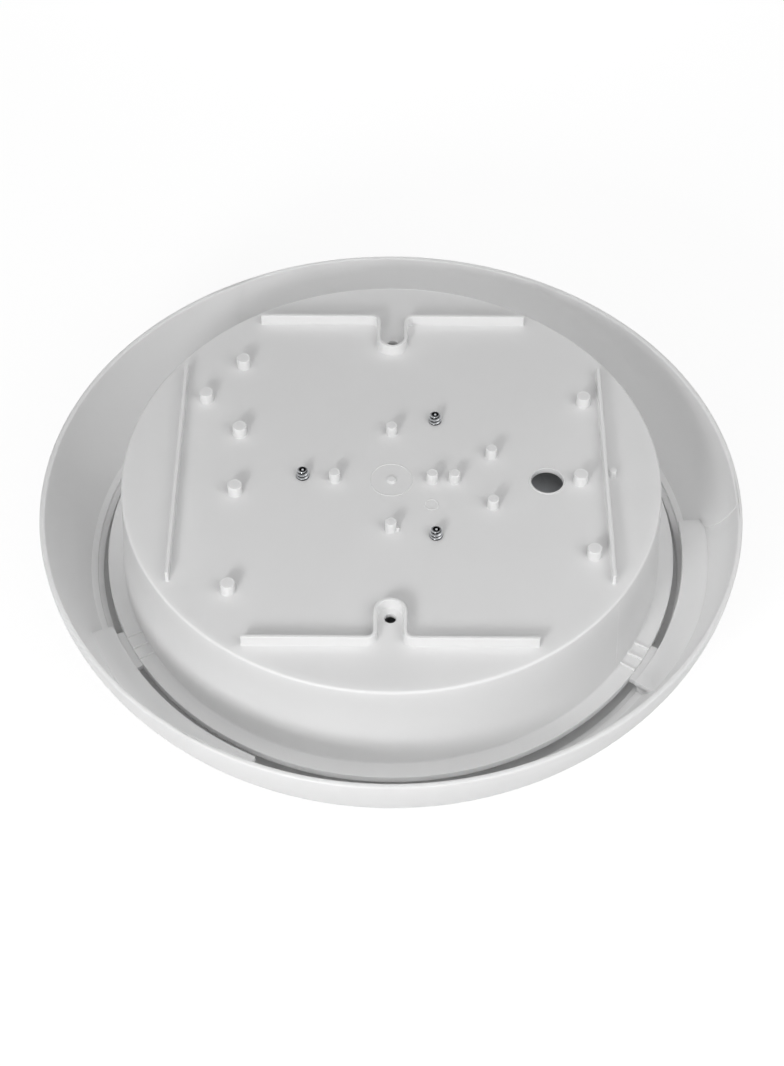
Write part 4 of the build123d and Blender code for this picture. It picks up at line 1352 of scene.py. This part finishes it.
        # Soft vinyl insulation, extruded: strong colours with a faint waxy shine.
        for name, colour, second in (
            ("brown", "#5A3A22", "#533420"),
            ("blue", "#2454A6", "#204C98"),
            ("red", "#B02424", "#A12020"),
            ("black", "#1A1A1B", "#222223"),
        ):
            self.by_slot[f"{name}_lead"] = Finish(
                f"vinyl_extruded_{name}", colour, second,
                rough=(0.30, 0.42), patch_mm=5, grain_mm=0.5, grain_depth_mm=0.006, ior=1.53,
            )
        self.made: dict[str, bpy.types.Material] = {}

    def material(self, slot: str) -> bpy.types.Material:
        """Material of a slot, made when it is first asked for."""
        if slot not in self.made:
            self.made[slot] = self.by_slot[slot].make()
        return self.made[slot]


@dataclass(frozen=True)
class Softbox:
    """Soft lamp that looks at the object. Sizes are in metres.

    Attributes:
        name: Name of the lamp.
        place: Where it stands.
        size: Width of its square face.
        watts: Its power.
    """

    name: str
    place: Spot
    size: float
    watts: float

    def add(self, target: Vector) -> None:
        """Put the lamp in the scene, aimed at a point."""
        data = bpy.data.lights.new(self.name, "AREA")
        data.size = self.size
        data.energy = self.watts
        lamp = bpy.data.objects.new(self.name, data)
        lamp.location = self.place
        lamp.rotation_euler = (target - Vector(self.place)).to_track_quat("-Z", "Y").to_euler()
        bpy.context.collection.objects.link(lamp)


@dataclass
class Studio:
    """White floor, soft light and the camera of the photograph.

    Lengths are in metres and angles in radians, unless a name ends in another unit.
    """

    floor_z: float
    floor_half: float = 4.0
    floor_plain: str = "#CCCCCC"
    floor_shade: str = "#8C8C8C"
    floor_glow: float = 0.82
    lamp_aim: Spot = (0.0, 0.0, -0.03)
    image_h_px: float = 1066.0
    focal_px: float = 2087.3
    sensor_mm: float = 36.0
    elevation: float = 0.871
    roll: float = 0.007
    shift_right: float = 0.000445
    shift_up: float = -0.024704
    distance: float = 0.885918
    eye_drop: float = 0.0007
    sky_towards: Spot = (0.0, -0.5, 0.866)
    sky_edge: float = 0.3
    sky_dim: float = 0.05
    sky_bright: float = 1.19
    lamps: tuple[Softbox, ...] = (
        Softbox("key_softbox", (-0.29, -0.68, 0.33), 0.16, 2.5),
        Softbox("fill_softbox", (0.30, -0.25, 0.35), 0.3, 0.45),
        Softbox("side_softbox", (0.62, -0.30, -0.03), 0.3, 0.42),
        Softbox("back_softbox", (0.0, 0.80, -0.02), 0.2, 1.4),
    )

    def seen_directly(self, tree: bpy.types.NodeTree) -> bpy.types.NodeSocket:
        """One for rays of the camera, of mirrors and of glass, and zero for light that falls on things."""
        path = add_node(tree, "ShaderNodeLightPath")
        first = add_node(
            tree,
            "ShaderNodeMath",
            {"operation": "MAXIMUM"},
            {0: path.outputs["Is Camera Ray"], 1: path.outputs["Is Glossy Ray"]},
        )
        both = add_node(
            tree,
            "ShaderNodeMath",
            {"operation": "MAXIMUM"},
            {0: first.outputs["Value"], 1: path.outputs["Is Transmission Ray"]},
        )
        return both.outputs["Value"]

    def light_sky(self) -> None:
        """Soft light that is strongest from above the camera, seen as plain white."""
        world = bpy.data.worlds.new("studio_sky")
        bpy.context.scene.world = world
        world.use_nodes = True
        tree = world.node_tree
        tree.nodes.clear()
        ahead = add_node(tree, "ShaderNodeTexCoord")
        towards = add_node(
            tree,
            "ShaderNodeVectorMath",
            {"operation": "DOT_PRODUCT", 1: self.sky_towards},
            {0: ahead.outputs["Generated"]},
        )
        strength = add_node(
            tree,
            "ShaderNodeMapRange",
            {
                "interpolation_type": "SMOOTHSTEP",
                "From Min": self.sky_edge,
                "To Min": self.sky_dim,
                "To Max": self.sky_bright,
            },
            {"Value": towards.outputs["Value"]},
        )
        soft = add_node(tree, "ShaderNodeBackground", links={"Strength": strength.outputs["Result"]})
        white = add_node(tree, "ShaderNodeBackground", {"Color": linear("#FFFFFF"), "Strength": 1.0})
        mix = add_node(
            tree,
            "ShaderNodeMixShader",
            links={
                0: self.seen_directly(tree),
                1: soft.outputs["Background"],
                2: white.outputs["Background"],
            },
        )
        add_node(tree, "ShaderNodeOutputWorld", links={"Surface": mix.outputs["Shader"]})

    def lay_floor(self) -> None:
        """White paper floor that keeps a faint shadow, and is clear from below."""
        half, z = self.floor_half, self.floor_z
        mesh = bpy.data.meshes.new("studio_floor")
        corners = [(-half, -half, z), (half, -half, z), (half, half, z), (-half, half, z)]
        mesh.from_pydata(corners, [], [(0, 1, 2, 3)])
        floor = bpy.data.objects.new("studio_floor", mesh)
        bpy.context.collection.objects.link(floor)
        paper = bpy.data.materials.new("white_paper_floor")
        paper.use_nodes = True
        tree = paper.node_tree
        tree.nodes.clear()
        plain = add_node(tree, "ShaderNodeBsdfDiffuse", {"Color": linear(self.floor_plain)})
        shade = add_node(tree, "ShaderNodeBsdfDiffuse", {"Color": linear(self.floor_shade)})
        glow = add_node(tree, "ShaderNodeEmission", {"Color": linear("#FFFFFF"), "Strength": self.floor_glow})
        bright = add_node(
            tree, "ShaderNodeAddShader", links={0: shade.outputs["BSDF"], 1: glow.outputs["Emission"]}
        )
        seen = add_node(
            tree,
            "ShaderNodeMixShader",
            links={0: self.seen_directly(tree), 1: plain.outputs["BSDF"], 2: bright.outputs["Shader"]},
        )
        clear = add_node(tree, "ShaderNodeBsdfTransparent")
        side = add_node(tree, "ShaderNodeNewGeometry")
        above = add_node(
            tree,
            "ShaderNodeMixShader",
            links={0: side.outputs["Backfacing"], 1: seen.outputs["Shader"], 2: clear.outputs["BSDF"]},
        )
        add_node(tree, "ShaderNodeOutputMaterial", links={"Surface": above.outputs["Shader"]})
        mesh.materials.append(paper)

    def place_camera(self) -> None:
        """Camera where the photograph was taken from."""
        sin, cos = math.sin(self.elevation), math.cos(self.elevation)
        right, up, back = Vector((1, 0, 0)), Vector((0, sin, cos)), Vector((0, -cos, sin))
        eye = right * self.shift_right + up * self.shift_up + back * self.distance
        eye.z -= self.eye_drop
        tilt_sin, tilt_cos = math.sin(self.roll), math.cos(self.roll)
        across = right * tilt_cos + up * tilt_sin
        upright = up * tilt_cos - right * tilt_sin
        data = bpy.data.cameras.new("photo_camera")
        data.sensor_fit = "VERTICAL"
        data.sensor_height = self.sensor_mm
        data.lens = self.focal_px / self.image_h_px * self.sensor_mm
        camera = bpy.data.objects.new("photo_camera", data)
        turn = Matrix((across, upright, back)).transposed().to_4x4()
        camera.matrix_world = Matrix.Translation(eye) @ turn
        bpy.context.collection.objects.link(camera)
        bpy.context.scene.camera = camera

    def build(self) -> None:
        """Set up the whole studio."""
        self.light_sky()
        self.lay_floor()
        for lamp in self.lamps:
            lamp.add(Vector(self.lamp_aim))
        self.place_camera()
        bpy.context.scene.view_settings.view_transform = "Standard"


class CeilingLight:
    """The whole lamp: its mouldings and screws as modelled pieces, and the gear inside from the frame."""

    def __init__(self) -> None:
        """Prepare the sub-assemblies and the finishes."""
        self.finishes = Finishes()
        self.bowl = BowlCover()
        self.base = BaseHousing(self.bowl)
        self.screws = TrayScrews(self.base.screw_spots)

    def fit(self, make: Callable[[], bpy.types.Object], body: str, node: str, slot: str) -> None:
        """Make one piece, dress it and put it in place of its node.

        Args:
            make: Method that builds the piece.
            body: Body that it moves with.
            node: Node that it stands for.
            slot: Slot of its finish.
        """
        piece = make()
        settle(piece)
        dress(piece, self.finishes.material(slot))
        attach(piece, body)
        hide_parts(node)
        log.info("%s: %d faces in place of %s", piece.name, len(piece.data.polygons), node)

    def dress_gear(self, done: Iterable[str]) -> None:
        """Give every node that stays its finish.

        Args:
            done: Nodes that a modelled piece stands for.
        """
        skipped = set(done)
        for row in frame["record"]["subparts"]:
            if row["node"] in skipped:
                continue
            dress(frame["nodes"][row["node"]], self.finishes.material(row["material_slot"]))
            log.info("%s: dressed as %s", row["node"], self.finishes.by_slot[row["material_slot"]].name)

    def build(self) -> None:
        """Make and dress the whole lamp."""
        self.fit(self.bowl.build, "cover", "bowl_cover", "opal_cover")
        self.fit(self.base.build, "base", "base_housing", "white_housing")
        self.fit(self.screws.build, "base", "tray_screws", "zinc_screw")
        self.dress_gear(("bowl_cover", "base_housing", "tray_screws"))


def main() -> None:
    """Build the lamp and the studio."""
    logging.basicConfig(level=logging.INFO, format="%(message)s")
    CeilingLight().build()
    Studio(floor_z=cad_box[0][2]).build()


if __name__ == "__main__":
    main()
